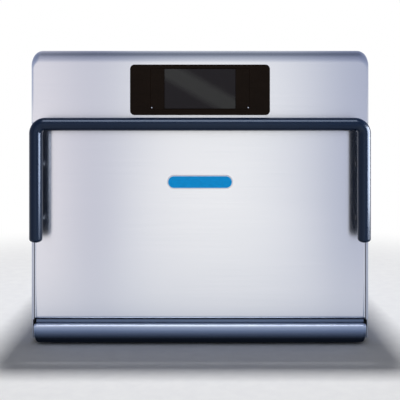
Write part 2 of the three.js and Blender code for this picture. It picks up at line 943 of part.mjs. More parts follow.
function cookChamber() {
  const size = [chamberWidth, chamberHeight, chamberCorner];
  const grown = (by) => roundOutline(size[0] + 2 * by, size[1] + 2 * by, size[2] + by);
  const outer = uprightPlate(
    grown(sheet),
    [centre, chamberFront, chamberMiddle],
    chamberDepth + sheet,
  );
  const flange = uprightPlate(grown(chamberFlange), [centre, chamberFront, chamberMiddle], sheet);
  const hollow = uprightPlate(
    grown(0),
    [centre, chamberFront - cutOverrun, chamberMiddle],
    chamberDepth + cutOverrun,
  );
  const inlets = blowers.map(([, x, z]) =>
    rod("y", [x, chamberBack - cutOverrun, z], inletRadius, sheet + 2 * cutOverrun, 20),
  );
  const launch = rod(
    "z",
    [centre, stirrerY, chamberFloorHeight - sheet - cutOverrun],
    floorHole,
    sheet + 2 * cutOverrun,
    24,
  );
  const terminals = [-coilSide, coilSide].map((x) =>
    rod("y", [x, chamberBack - cutOverrun, coilHeight], coilRadius + fitGap, sheet + 2 * cutOverrun),
  );
  const shell = cut(join(outer, flange), hollow, launch, ...inlets, ...terminals);
  return piece("cook_chamber", shell, "chamberSteel");
}

function chamberInsulation() {
  const front = chamberFront + sheet + fitGap;
  const depth = chamberBack - front;
  const clear = sheet + fitGap;
  const outer = uprightPlate(
    roundOutline(
      chamberWidth + 2 * (clear + insulationThickness),
      chamberHeight + 2 * (clear + insulationThickness),
      chamberCorner + insulationThickness,
      4,
    ),
    [centre, front, chamberMiddle],
    depth,
  );
  const inner = uprightPlate(
    roundOutline(chamberWidth + 2 * clear, chamberHeight + 2 * clear, chamberCorner + clear),
    [centre, front - cutOverrun, chamberMiddle],
    depth + 2 * cutOverrun,
  );
  const pocket = block(
    around(centre, 2 * (ductHalf + sheet)),
    around(stirrerY, 2 * (canRadius + sheet)),
    [ductBottom - insulationThickness, chamberMiddle],
  );
  return piece("chamber_insulation", cut(outer, inner, pocket), "woven");
}

// Jet plates with rows of round nozzles
const jetPlenum = 30;
const lowerPlenum = 18;
const jetRadius = 7;
const jetColumns = 7;
const jetRows = 4;
const jetSideInset = 60;
const jetEndInset = 75;
const jetPitchX = (chamberWidth - 2 * jetSideInset) / (jetColumns - 1);
const jetPitchY = (chamberDepth - 2 * jetEndInset) / (jetRows - 1);
const upperJetLow = chamberTop - jetPlenum;
const lowerJetLow = chamberFloorHeight + lowerPlenum;
const jetFront = chamberFront + jetRadius;
const jetBack = chamberBack - fitGap;

function jetHoles(z) {
  const holes = [];
  for (let row = 0; row < jetRows; row += 1) {
    for (let column = 0; column < jetColumns; column += 1) {
      const x = (column - (jetColumns - 1) / 2) * jetPitchX;
      const y = stirrerY + (row - (jetRows - 1) / 2) * jetPitchY;
      holes.push(rod("z", [x, y, z - cutOverrun], jetRadius, sheet + 2 * cutOverrun, 8));
    }
  }
  return holes;
}

function upperJetplate() {
  const half = chamberWidth / 2 - fitGap;
  const plate = block([-half, half], [jetFront, jetBack], [upperJetLow, upperJetLow + sheet]);
  return piece("upper_jetplate", cut(plate, ...jetHoles(upperJetLow)), "chamberSteel");
}

function lowerJetplate() {
  const half = chamberWidth / 2 - chamberCorner;
  const low = chamberFloorHeight + fitGap;
  const plate = block([-half, half], [jetFront, jetBack], [lowerJetLow, lowerJetLow + sheet]);
  const walls = [
    block([-half, half], [jetFront, jetFront + sheet], [low, lowerJetLow + sheet]),
    block([-half, half], [jetBack - sheet, jetBack], [low, lowerJetLow + sheet]),
  ];
  const tray = join(plate, ...walls);
  return piece("lower_jetplate", cut(tray, ...jetHoles(lowerJetLow)), "chamberSteel");
}

// Rack rails and the wire rack that lies on them
const railRise = 43;
const railHeight = chamberFloorHeight + railRise;
const railTall = 30;
const railReach = 16;
const railInset = 10;
const rackTravel = 22;
const rackWire = 3;
const rackRod = 1.8;
const rackRods = 15;
const rackSide = chamberWidth / 2 - fitGap - sheet - rackWire - 4 * sheet;
const rackZ = railHeight + sheet + fitGap + rackWire;
const rackBack = chamberBack - 2 * railInset;
const rackFront = chamberFront + railInset + rackTravel;

function rackRails() {
  const outside = chamberWidth / 2 - fitGap;
  const span = [chamberFront + railInset, chamberBack - 2 * railInset];
  const wall = block([outside - sheet, outside], span, around(railHeight, railTall));
  const ledge = block([outside - railReach, outside], span, [railHeight, railHeight + sheet]);
  return pair("rack_rail", join(wall, ledge), "chamberSteel");
}

function wireRack() {
  const long = rackBack - rackFront;
  const wires = [];
  [-rackSide, rackSide].forEach((x) => {
    wires.push(rod("y", [x, rackFront, rackZ], rackWire, long, 8));
  });
  [rackFront + rackWire, rackBack - rackWire].forEach((y) => {
    wires.push(rod("x", [-rackSide, y, rackZ], rackWire, 2 * rackSide, 8));
  });
  const pitch = (2 * rackSide) / (rackRods + 1);
  for (let wire = 1; wire <= rackRods; wire += 1) {
    const x = wire * pitch - rackSide;
    wires.push(rod("y", [x, rackFront + rackWire, rackZ], rackRod, long - 2 * rackWire, 6));
  }
  return piece("wire_rack", join(...wires), "chamberSteel");
}

// Heater coil in the upper plenum, its two ends through the back wall
const coilRadius = 4;
const coilLegCount = 4;
const coilSideInset = 90;
const coilSide = chamberWidth / 2 - coilSideInset;
const coilHeight = chamberTop - jetPlenum / 2;
const coilFrontInset = 90;
const coilBackInset = 110;
const coilTail = 8;

function heaterCoil() {
  const front = chamberFront + coilFrontInset;
  const back = chamberBack - coilBackInset;
  const tail = chamberBack + sheet + coilTail;
  const pitch = (2 * coilSide) / (coilLegCount - 1);
  const bend = pitch / 2;
  const route = [[-coilSide, tail]];
  for (let leg = 0; leg < coilLegCount - 1; leg += 1) {
    const x = leg * pitch - coilSide + bend;
    const turn =
      leg % 2 === 0
        ? arcPoints(x, front + bend, bend, Math.PI, 2 * Math.PI, 8)
        : arcPoints(x, back - bend, bend, Math.PI, 0, 8);
    route.push(...turn);
  }
  route.push([coilSide, tail]);
  const tube = tubeThrough(route.map(([x, y]) => [x, y, coilHeight]), coilRadius, 8);
  return piece("heater_coil", tube, "castAlloy");
}

const converterSideInset = 50;
const converterDrop = 10;
const converterThickness = 16;
const converterLowShare = 0.35;
const converterRimShare = 0.07;

function catalyticConverter() {
  const wide = chamberWidth - 2 * converterSideInset;
  const low = lowerJetLow + (upperJetLow - lowerJetLow) * converterLowShare;
  const high = upperJetLow - converterDrop;
  const thick = converterThickness;
  const columns = 12;
  const rows = 3;
  const rim = (high - low) * converterRimShare;
  const back = chamberBack - fitGap;
  const body = block(around(centre, wide), [back - thick, back], [low, high]);
  const cellWide = (wide - 2 * rim) / columns;
  const cellTall = (high - low - 2 * rim) / rows;
  const cells = [];
  for (let column = 0; column < columns; column += 1) {
    for (let row = 0; row < rows; row += 1) {
      cells.push(
        block(
          around((column - (columns - 1) / 2) * cellWide, cellWide - rim),
          [back - thick - cutOverrun, back + cutOverrun],
          around(low + rim + (row + 1 / 2) * cellTall, cellTall - rim),
        ),
      );
    }
  }
  return piece("catalytic_converter", cut(body, ...cells), "ceramic");
}

function blowerHousing() {
  const outer = block(
    [-housingHalf, housingHalf],
    [housingFront, housingBack],
    [housingLow, housingHigh],
  );
  const inner = block(
    [sheet - housingHalf, housingHalf - sheet],
    [housingFront - cutOverrun, housingBack - sheet],
    [housingLow + sheet, housingHigh - sheet],
  );
  const shafts = blowers.map(([, x, z]) =>
    rod("y", [x, housingBack - sheet - cutOverrun, z], shaftRadius + sheet, sheet + 2 * cutOverrun),
  );
  return piece("blower_housing", cut(outer, inner, ...shafts), "plainSteel");
}

// A wheel round the Y axis: a back disc, a bored hub and straight blades
function bladeWheel(radius, depth, count) {
  const disc = rod("y", [0, depth - 2 * sheet, 0], radius, 2 * sheet, 24);
  const hub = rod("y", [0, depth / 4, 0], hubRadius, (3 * depth) / 4, 16);
  const blades = [];
  for (let blade = 0; blade < count; blade += 1) {
    blades.push(
      block(around(0, sheet), [0, depth - sheet], [radius / 2, radius - sheet])
        .rotateY((blade / count) * Math.PI * 2),
    );
  }
  const bore = rod("y", [0, -cutOverrun, 0], shaftRadius + runningGap, depth + 2 * cutOverrun);
  return cut(join(disc, hub, ...blades), bore);
}

function blowerWheels() {
  const start = housingFront + wheelGap;
  return blowers.map(([level, x, z]) =>
    piece(`${level}_blower_wheel`, bladeWheel(wheelRadius, wheelDepth, 12), "castAlloy", [x, start, z]),
  );
}

function blowerMotors() {
  const start = housingBack + fitGap;
  const shaftStart = housingFront + wheelGap + wheelDepth / 2;
  const collar = 5;
  return blowers.map(([level, x, z]) => {
    const can = rod("y", [0, start + collar, 0], motorRadius, motorLength - collar, 24);
    const plate = block(
      around(0, 2 * motorRadius),
      [start, start + collar],
      around(0, 2 * motorRadius),
    );
    const shaft = rod("y", [0, shaftStart, 0], shaftRadius, start + collar - shaftStart);
    return piece(`${level}_blower_motor`, join(can, plate, shaft), "castAlloy", [x, 0, z]);
  });
}

// Magnetrons stand under the ends of the launch waveguide
const magnetronWidth = 84;
const magnetronDepth = 96;
const magnetronTall = 66;
const finCount = 6;

function magnetrons() {
  const top = ductBottom - fitGap;
  const body = block(
    around(magnetronSide, magnetronWidth),
    around(stirrerY, magnetronDepth),
    [top - magnetronTall, top],
  );
  const finPitch = magnetronTall / (finCount + 1);
  const gaps = [];
  for (let fin = 0; fin < finCount; fin += 1) {
    const height = top - magnetronTall + (fin + 1) * finPitch;
    [-1, 1].forEach((side) => {
      gaps.push(
        block(
          around(magnetronSide + (side * magnetronWidth) / 2, magnetronWidth / 2),
          around(stirrerY, magnetronDepth + 2 * cutOverrun),
          around(height, finPitch / 2),
        ),
      );
    });
  }
  const antenna = rod("z", [magnetronSide, stirrerY, top - cutOverrun], antennaRadius, canHeight / 2);
  return pair("magnetron", join(cut(body, ...gaps), antenna), "plainSteel");
}

function launchWaveguide() {
  const can = rod("z", [centre, stirrerY, ductBottom], canRadius, canHeight, 24);
  const canInside = rod("z", [centre, stirrerY, ductBottom + sheet], canRadius - sheet, canHeight, 24);
  const duct = block(
    [-ductHalf, ductHalf],
    around(stirrerY, ductWidth),
    [ductBottom, ductTop],
  );
  const ductInside = block(
    [sheet - ductHalf, ductHalf - sheet],
    around(stirrerY, ductWidth - 2 * sheet),
    [ductBottom + sheet, ductTop - sheet],
  );
  const holes = [-magnetronSide, magnetronSide].map((x) =>
    rod("z", [x, stirrerY, ductBottom - cutOverrun], antennaRadius + 2 * fitGap, 2 * cutOverrun),
  );
  const shaftHole = rod(
    "z",
    [centre, stirrerY, ductBottom - cutOverrun],
    shaftRadius + sheet,
    2 * cutOverrun,
  );
  const shell = cut(join(can, duct), canInside, ductInside, shaftHole, ...holes);
  return piece("launch_waveguide", shell, "chamberSteel");
}

const stirrerRadius = 62;
const stirrerHubHeight = 14;
const stirrerLift = 14;
const stirrerMotorRadius = 28;
const stirrerMotorLength = 30;

function modeStirrer() {
  const hub = rod("z", [0, 0, 0], hubRadius, stirrerHubHeight, 16);
  const blades = [];
  const count = 4;
  for (let blade = 0; blade < count; blade += 1) {
    blades.push(
      block([0, stirrerRadius], around(0, 2 * hubRadius), [0, sheet])
        .rotateX(Math.PI / 8)
        .translate(0, 0, stirrerHubHeight / 2)
        .rotateZ((blade / count) * Math.PI * 2),
    );
  }
  const bore = rod("z", [0, 0, -cutOverrun], shaftRadius + runningGap, stirrerHubHeight);
  const place = [centre, stirrerY, ductBottom + stirrerLift];
  return piece("mode_stirrer", cut(join(hub, ...blades), bore), "castAlloy", place);
}

function stirrerMotor() {
  const top = ductBottom - fitGap;
  const can = rod("z", [0, 0, top - stirrerMotorLength], stirrerMotorRadius, stirrerMotorLength, 20);
  const shaftLength = fitGap + stirrerLift + 2 * cutOverrun;
  const shaft = rod("z", [0, 0, top - cutOverrun], shaftRadius, shaftLength);
  return piece("stirrer_motor", join(can, shaft), "castAlloy", [centre, stirrerY, 0]);
}

// High-voltage parts on the base pan, behind the launch
const supplyInset = 117.5;
const supplyRearInset = 90;
const supplySide = innerHalf - supplyInset;
const supplyY = bodyBack - supplyRearInset;
const coreWidth = 100;
const coreDepth = 60;
const coreTall = 82;
const windingDepth = 92;
const capacitorStep = 100;
const capacitorSide = supplySide - capacitorStep;
const capacitorWidth = 54;
const capacitorDepth = 34;
const capacitorTall = 88;

function transformers() {
  const low = panTop + fitGap;
  const core = block(
    around(supplySide, coreWidth),
    around(supplyY, coreDepth),
    [low, low + coreTall],
  );
  const winding = uprightPlate(
    roundOutline((2 * coreWidth) / 3, coreTall / 2, coreTall / 8, 4),
    [supplySide, supplyY - windingDepth / 2, low + coreTall / 2],
    windingDepth,
  );
  return pair("transformer", join(core, winding), "ironStack");
}

function capacitors() {
  const low = panTop + fitGap;
  const can = flatPlate(
    roundOutline(capacitorWidth, capacitorDepth, capacitorDepth / 2),
    [capacitorSide, supplyY, low],
    capacitorTall,
  );
  const lug = capacitorWidth / 4;
  const lugs = [-lug, lug].map((shift) =>
    block(
      around(capacitorSide + shift, lug / 4),
      around(supplyY, lug / 2),
      [low + capacitorTall - cutOverrun, low + capacitorTall + lug],
    ),
  );
  return pair("capacitor", join(can, ...lugs), "castAlloy");
}

// Control board on four legs that stand on the shelf
const boardWidth = 200;
const boardDepth = 140;
const boardSideInset = 117.5;
const boardRearInset = 321;
const boardLeg = 8;

function controlBoard() {
  const wide = boardWidth;
  const deep = boardDepth;
  const x = boardSideInset + boardWidth / 2 - innerHalf;
  const y = rearPanelFront - boardRearInset;
  const leg = boardLeg;
  const low = shelfTop + fitGap;
  const boardLow = low + leg;
  const parts = [block(around(x, wide), around(y, deep), [boardLow, boardLow + sheet])];
  [-1, 1].forEach((across) => {
    [-1, 1].forEach((along) => {
      const place = [x + across * (wide / 2 - leg), y + along * (deep / 2 - leg), low];
      parts.push(rod("z", place, leg / 2, leg + sheet, 8));
    });
  });
  const rowCount = 5;
  for (let relay = 0; relay < rowCount; relay += 1) {
    const middle = x + (relay - (rowCount - 1) / 2) * (wide / (rowCount + 1));
    parts.push(
      block(around(middle, 2 * leg), around(y + deep / 4, 3 * leg), [boardLow, boardLow + 2 * leg]),
    );
  }
  const heatSink = block(
    around(x, wide / 2),
    around(y - deep / 4, 3 * leg),
    [boardLow, boardLow + 4 * leg],
  );
  return piece("control_board", join(...parts, heatSink), "board");
}

// Cooling fan inside the rear panel
const fanHub = 20;
const fanBlades = 7;
const fanBack = rearPanelFront - fitGap;
const fanStrut = 4;

function coolingFanFrame() {
  const frame = block(
    around(fanSide, fanSize),
    [fanBack - fanDepth, fanBack],
    around(fanCentre, fanSize),
  );
  const bore = rod(
    "y",
    [fanSide, fanBack - fanDepth - cutOverrun, fanCentre],
    fanBore,
    fanDepth + 2 * cutOverrun,
    28,
  );
  const struts = [
    block(around(fanSide, fanSize), [fanBack - fanStrut, fanBack], around(fanCentre, fanStrut)),
    block(around(fanSide, fanStrut), [fanBack - fanStrut, fanBack], around(fanCentre, fanSize)),
  ];
  const boss = rod("y", [fanSide, fanBack - fanStrut, fanCentre], fanHub, fanStrut);
  const shaft = rod(
    "y",
    [fanSide, fanBack - fanDepth / 2, fanCentre],
    shaftRadius,
    fanDepth / 2,
  );
  const built = join(cut(frame, bore), ...struts, boss, shaft);
  return piece("cooling_fan_frame", built, "blackPlastic");
}

function coolingFanWheel() {
  const depth = fanDepth - 3 * fanStrut;
  const hub = rod("y", [0, 0, 0], fanHub, depth, 20);
  const blades = [];
  for (let blade = 0; blade < fanBlades; blade += 1) {
    blades.push(
      block(around(0, depth), around(depth / 2, 2 * sheet), [fanHub / 2, fanBore - fanStrut])
        .translate(0, -depth / 2, 0)
        .rotateZ(Math.PI / 5)
        .translate(0, depth / 2, 0)
        .rotateY((blade / fanBlades) * Math.PI * 2),
    );
  }
  const bore = rod("y", [0, fanDepth / 4, 0], shaftRadius + runningGap, depth);
  const place = [fanSide, fanBack - fanDepth + fanStrut, fanCentre];
  return piece("cooling_fan_wheel", cut(join(hub, ...blades), bore), "blackPlastic", place);
}

function grouped(name, ...pieces) {
  const group = new THREE.Group();
  group.name = name;
  group.add(...pieces.flat());
  return group;
}

const oven = grouped(
  "speed_oven",
  grouped(
    "casing",
    basePan(),
    sidePanels(),
    topCover(),
    frontFascia(),
    rearPanel(),
    frontFrame(),
    electronicsShelf(),
    feet(),
    cordGland(),
    hingeBrackets(),
    hingePins(),
    doorSwitch(),
    switchPlunger(),
  ),
  grouped("controls", controlBezel(), touchScreen(), controlBoard()),
  grouped(
    "door",
    doorSkin(),
    doorInnerPanel(),
    doorSeal(),
    doorHandle(),
    handlePosts(),
    badgePlate(),
    hingeArms(),
  ),
  grouped(
    "chamber",
    cookChamber(),
    chamberInsulation(),
    rackRails(),
    wireRack(),
    upperJetplate(),
    lowerJetplate(),
    heaterCoil(),
    catalyticConverter(),
  ),
  grouped("blowers", blowerHousing(), blowerWheels(), blowerMotors()),
  grouped(
    "microwave",
    magnetrons(),
    launchWaveguide(),
    modeStirrer(),
    stirrerMotor(),
    transformers(),
    capacitors(),
  ),
  grouped("cooling", coolingFanFrame(), coolingFanWheel(), noseTrim(), airFilter()),
);

export default oven;
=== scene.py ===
"""Dresses a countertop speed oven: brushed stainless casing, navy handle tube, gloss control panel.

Every length in the classes is in millimetres and is turned to metres where a mesh is made.
The front of the oven faces -Y, +X is to the right and +Z is up.
"""

import logging
import math
from dataclasses import dataclass
from enum import Enum

import bmesh
import bpy
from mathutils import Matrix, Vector


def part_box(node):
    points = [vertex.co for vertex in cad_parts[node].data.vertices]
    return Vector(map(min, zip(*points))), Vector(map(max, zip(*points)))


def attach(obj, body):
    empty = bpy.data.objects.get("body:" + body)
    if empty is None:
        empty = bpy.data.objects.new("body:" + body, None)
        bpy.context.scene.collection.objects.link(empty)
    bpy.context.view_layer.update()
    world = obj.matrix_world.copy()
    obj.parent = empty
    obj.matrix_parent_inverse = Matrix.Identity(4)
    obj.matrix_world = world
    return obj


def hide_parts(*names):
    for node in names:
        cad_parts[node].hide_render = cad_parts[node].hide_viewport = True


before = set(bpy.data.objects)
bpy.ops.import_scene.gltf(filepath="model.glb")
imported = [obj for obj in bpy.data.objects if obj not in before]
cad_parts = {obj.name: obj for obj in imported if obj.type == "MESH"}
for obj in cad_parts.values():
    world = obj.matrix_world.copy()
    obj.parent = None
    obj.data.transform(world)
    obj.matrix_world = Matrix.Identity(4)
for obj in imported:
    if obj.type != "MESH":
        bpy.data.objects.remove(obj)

MM = 0.001
log = logging.getLogger("speed_oven")

Point = tuple[float, float, float]
Ring = list[Point]
Outline = list[tuple[float, float]]
Shape = tuple[list[Point], list[list[int]]]
Stops = tuple[tuple[float, str], ...]
Tree = bpy.types.NodeTree
Node = bpy.types.Node
Socket = bpy.types.NodeSocket
Source = Node | Socket

# An edge that turns by more degrees than these stays sharp.
CREASE = 32.0
NODE_CREASE = 30.0
ROUND_CREASE = 40.0
WIRE_CREASE = 50.0

# A softened piece is rounded, in so many steps, where it turns by more degrees than this.
SOFTENED_ABOVE = 40.0
SOFT_STEPS = 2

# Points nearer than this, in millimetres, are one point in a new piece and in a packed one.
SAME_POINT = 0.001
SAME_PACKED_POINT = 0.01

# A swept bar's dome takes these steps, and ends in a ring with this share of its radius.
DOME_STEPS = 6
DOME_TIP_SHARE = 0.02

# A bar that runs along the line its sides are set out from by more than these shares takes another.
NEAR_SPREAD_SHARE = 0.95
NEAR_DEEP_SHARE = 0.9

# A wave texture at this scale has one band in each unit.
ONE_BAND = 0.314

# A node that mixes two colours takes them at these places and gives the result at the third.
FIRST_COLOUR = 6
SECOND_COLOUR = 7
MIXED_COLOUR = 2


class Direction(Enum):
    """A line through the object, as a unit vector."""

    ACROSS = (1.0, 0.0, 0.0)
    DEEP = (0.0, 1.0, 0.0)
    UPRIGHT = (0.0, 0.0, 1.0)

    @property
    def beside(self) -> Vector:
        """Returns a line that is square to this one."""
        return Vector((Direction.ACROSS if self is Direction.UPRIGHT else Direction.UPRIGHT).value)


class Side(Enum):
    """The left or the right half of the object, as the sign of X."""

    LEFT = -1
    RIGHT = 1


def linear(colour: str) -> tuple[float, float, float, float]:
    """Turns an sRGB hex colour to linear.

    Args:
        colour: Six hex digits after a hash.

    Returns:
        Red, green, blue and an alpha of one.
    """
    channels = [int(colour[start:start + 2], 16) / 255 for start in (1, 3, 5)]
    red, green, blue = (
        channel / 12.92 if channel <= 0.04045 else ((channel + 0.055) / 1.055) ** 2.4
        for channel in channels
    )
    return (red, green, blue, 1.0)


def add_node(
    tree: Tree, kind: str, inputs: dict[str | int, object] | None = None, **settings: object
) -> Node:
    """Adds a shader node with its settings, constants and links.

    Args:
        tree: The node tree that gets the node.
        kind: Blender's type name of the node, without ShaderNode at its start.
        inputs: What its sockets get: a constant, a socket, or a node that stands for its first output.
        settings: Attributes of the node itself.

    Returns:
        The new node.
    """
    node = tree.nodes.new(f"ShaderNode{kind}")
    for name, value in settings.items():
        setattr(node, name, value)
    for name, value in (inputs or {}).items():
        if isinstance(value, (Node, Socket)):
            tree.links.new(value.outputs[0] if isinstance(value, Node) else value, node.inputs[name])
        else:
            node.inputs[name].default_value = value
    return node


def empty_tree(owner: bpy.types.Material | bpy.types.World) -> Tree:
    """Turns a material's or a world's nodes on and empties them.

    Args:
        owner: The material or the world.

    Returns:
        Its node tree.
    """
    owner.use_nodes = True
    owner.node_tree.nodes.clear()
    return owner.node_tree


def colour_along(tree: Tree, source: Source, stops: Stops) -> Node:
    """Turns a value into a colour.

    Args:
        tree: The node tree.
        source: The value.
        stops: Places from 0 to 1 and the hex colour at each.

    Returns:
        The node that gives the colour.
    """
    node = add_node(tree, "ValToRGB", {"Fac": source})
    elements = node.color_ramp.elements
    middle = 0.5
    while len(elements) < len(stops):
        elements.new(middle)
    for element, (place, colour) in zip(elements, stops):
        element.position = place
        element.color = linear(colour)
    return node


def placed(tree: Tree, grain: Point) -> Node:
    """Finds the place on a piece, counted in grains.

    Args:
        tree: The node tree.
        grain: The grain's length along X, Y and Z, in millimetres.

    Returns:
        The node that gives the place.
    """
    place = add_node(tree, "TexCoord").outputs["Object"]
    return add_node(tree, "Mapping", {"Vector": place, "Scale": tuple(1 / (size * MM) for size in grain)})


def grains(tree: Tree, grain: Point, detail: float, warp: float = 0.0) -> Node:
    """Makes a value that varies in grains of a real size.

    Args:
        tree: The node tree.
        grain: The grain's length along X, Y and Z, in millimetres.
        detail: How many finer layers it has.
        warp: How far it is distorted.

    Returns:
        The node that gives the value.
    """
    inputs = {"Vector": placed(tree, grain), "Scale": 1.0, "Detail": detail, "Distortion": warp}
    return add_node(tree, "TexNoise", inputs)


@dataclass(frozen=True)
class Finish:
    """What every finish has: its name, its colour and gloss, and a duller tone that varies them.

    The relief is the bump's strength and its depth in millimetres. The duller tone is shown
    where the pattern is below the first share, and the colour where it is above the second.
    """

    name: str
    colour: str
    shade: str
    roughness: float
    rougher: float
    metallic: float = 0.0
    ior: float = 1.5
    specular: float = 0.5
    relief: tuple[float, float] = (0.2, 0.02)
    tone_shares: tuple[float, float] = (0.25, 0.75)

    def pattern(self, tree: Tree) -> Source:
        """Returns what gives the 0 to 1 value that varies colour, roughness and relief."""
        raise NotImplementedError

    def extras(self, tree: Tree) -> dict[str, object]:
        """Returns what only this finish puts on the shader, such as a haze or a grain direction."""
        return {}

    def material(self) -> bpy.types.Material:
        """Builds the material, or returns the one built before.

        Returns:
            The Blender material named for this finish.
        """
        made = bpy.data.materials.get(self.name)
        if made is not None:
            return made
        made = bpy.data.materials.new(self.name)
        tree = empty_tree(made)
        source = self.pattern(tree)
        strength, depth = self.relief
        gloss = {"Value": source, "To Min": self.rougher, "To Max": self.roughness}
        bump = {"Height": source, "Strength": strength, "Distance": depth * MM}
        tones = tuple(zip(self.tone_shares, (self.shade, self.colour)))
        inputs = {
            "Base Color": colour_along(tree, source, tones),
            "Roughness": add_node(tree, "MapRange", gloss),
            "Normal": add_node(tree, "Bump", bump),
            "Metallic": self.metallic,
        }
        if self.metallic < 1:
            inputs |= {"IOR": self.ior, "Specular IOR Level": self.specular}
        shader = add_node(tree, "BsdfPrincipled", inputs | self.extras(tree))
        add_node(tree, "OutputMaterial", {"Surface": shader})
        return made


@dataclass(frozen=True)
class BrushedSteel(Finish):
    """Stainless sheet brushed one way: fine lines, and highlights drawn out square to them.

    A duller gloss lies over the first, like the haze round the image in a real brushed face.
    """

    metallic: float = 1.0
    relief: tuple[float, float] = (0.12, 0.02)
    grain: Direction = Direction.ACROSS
    line_length: float = 170.0
    line_width: float = 1.3
    cloud: float = 190.0
    cloud_share: float = 0.45
    draw: float = 0.78
    haze: float = 0.6
    haze_roughness: float = 0.5
    spread: Direction = Direction.UPRIGHT

    def pattern(self, tree: Tree) -> Source:
        """Fine lines over broad clouds. Real lines are under 0.2 mm and wouldn't show.

        Args:
            tree: The node tree.

        Returns:
            The node that gives the value.
        """
        stretch = tuple(self.line_length if part else self.line_width for part in self.grain.value)
        lines = grains(tree, stretch, detail=2.0)
        clouds = grains(tree, (self.cloud,) * 3, detail=1.0)
        return add_node(tree, "Mix", {"Factor": self.cloud_share, "A": lines, "B": clouds})

    def extras(self, tree: Tree) -> dict[str, object]:
        """Draws reflections out square to the grain, under the haze."""
        return {
            "Tangent": add_node(tree, "CombineXYZ", dict(zip("XYZ", self.spread.value))),
            "Anisotropic": self.draw,
            "Coat Weight": self.haze,
            "Coat Roughness": self.haze_roughness,
        }


@dataclass(frozen=True)
class RolledSteel(Finish):
    """Mill-finish or plated sheet: soft mottling in a dull grey, with faint rolling lines."""

    metallic: float = 1.0
    mottle: float = 14.0
    rolling: float = 60.0
    line_width: float = 2.0
    line_share: float = 0.35

    def pattern(self, tree: Tree) -> Source:
        """Mottling crossed with rolling lines.

        Args:
            tree: The node tree.

        Returns:
            The node that gives the value.
        """
        mottles = grains(tree, (self.mottle,) * 3, detail=4.0)
        lines = grains(tree, (self.rolling, self.rolling, self.line_width), detail=1.0)
        return add_node(tree, "Mix", {"Factor": self.line_share, "A": mottles, "B": lines})


@dataclass(frozen=True)
class CastMetal(Finish):
    """Sand or die cast metal: an even fine grain, matt, a little darker in its pits."""

    metallic: float = 1.0
    relief: tuple[float, float] = (0.35, 0.1)
    grit: float = 1.6

    def pattern(self, tree: Tree) -> Source:
        """Cast grain."""
        return grains(tree, (self.grit,) * 3, detail=5.0)


@dataclass(frozen=True)
class CoatedTube(Finish):
    """Steel tube under a thick gloss coat that levels itself: deep colour with a soft waviness."""

    specular: float = 0.4
    relief: tuple[float, float] = (0.08, 0.02)
    wave: float = 9.0
    fleck: float = 0.9
    fleck_share: float = 0.3
    tint: str = "#CADEFF"

    def pattern(self, tree: Tree) -> Source:
        """The soft waviness of a sprayed coat, with fine flecks.

        Args:
            tree: The node tree.

        Returns:
            The node that gives the value.
        """
        waves = grains(tree, (self.wave,) * 3, detail=1.0)
        flecks = grains(tree, (self.fleck,) * 3, detail=2.0)
        return add_node(tree, "Mix", {"Factor": self.fleck_share, "A": waves, "B": flecks})

    def extras(self, tree: Tree) -> dict[str, object]:
        """Adds the blue of its gloss."""
        return {"Specular Tint": linear(self.tint)}


@dataclass(frozen=True)
class Moulded(Finish):
    """Moulded plastic or rubber: a fine even texture from the mould, and rubber's powdery edge."""

    relief: tuple[float, float] = (0.3, 0.05)
    texture: float = 0.8
    broad: float = 40.0
    broad_share: float = 0.4
    sheen: float = 0.0

    def pattern(self, tree: Tree) -> Source:
        """Spark-eroded mould texture with a faint variation so many times as broad.

        Args:
            tree: The node tree.

        Returns:
            The node that gives the value.
        """
        fine = grains(tree, (self.texture,) * 3, detail=3.0)
        broad = grains(tree, (self.texture * self.broad,) * 3, detail=1.0)
        return add_node(tree, "Mix", {"Factor": self.broad_share, "A": fine, "B": broad})

    def extras(self, tree: Tree) -> dict[str, object]:
        """Adds the powdery edge light."""
        return {"Sheen Weight": self.sheen}


@dataclass(frozen=True)
class GlossPanel(Finish):
    """A hard gloss face, such as glass, enamel or back-printed acrylic, with faint wiping smears."""

    specular: float = 0.12
    relief: tuple[float, float] = (0.02, 0.005)
    smear: float = 38.0
    smear_height_share: float = 1 / 3
    warp: float = 0.6

    def pattern(self, tree: Tree) -> Source:
        """Wiping smears, longer across than up."""
        size = (self.smear, self.smear, self.smear * self.smear_height_share)
        return grains(tree, size, detail=2.0, warp=self.warp)


@dataclass(frozen=True)
class DisplayGlass(GlossPanel):
    """The glass of an unlit display, with a soft slant band a little lighter as a painted sheen."""

    slant: float = 0.56
    band: float = 36.0
    smear_share: float = 0.15

    def pattern(self, tree: Tree) -> Source:
        """Lays the smears over the slant band of painted sheen.

        Args:
            tree: The node tree.

        Returns:
            The node that gives the value.
        """
        # The lighter band along a slant line across the glass is a painted sheen.
        place = add_node(tree, "TexCoord").outputs["Object"]
        parts = add_node(tree, "SeparateXYZ", {"Vector": place}).outputs
        slanted = {0: parts["X"], 1: self.slant, 2: parts["Z"]}
        along = add_node(tree, "Math", slanted, operation="MULTIPLY_ADD")
        middle = Block.of("touch_screen").middle[2] * MM
        beside = add_node(tree, "Math", {0: along, 1: middle}, operation="SUBTRACT")
        away = add_node(tree, "Math", {0: beside}, operation="ABSOLUTE")
        fade = {"Value": away, "From Max": self.band * MM, "To Min": 1.0, "To Max": 0.0}
        band = add_node(tree, "MapRange", fade, interpolation_type="SMOOTHSTEP")
        return add_node(tree, "Mix", {"Factor": self.smear_share, "A": band, "B": super().pattern(tree)})


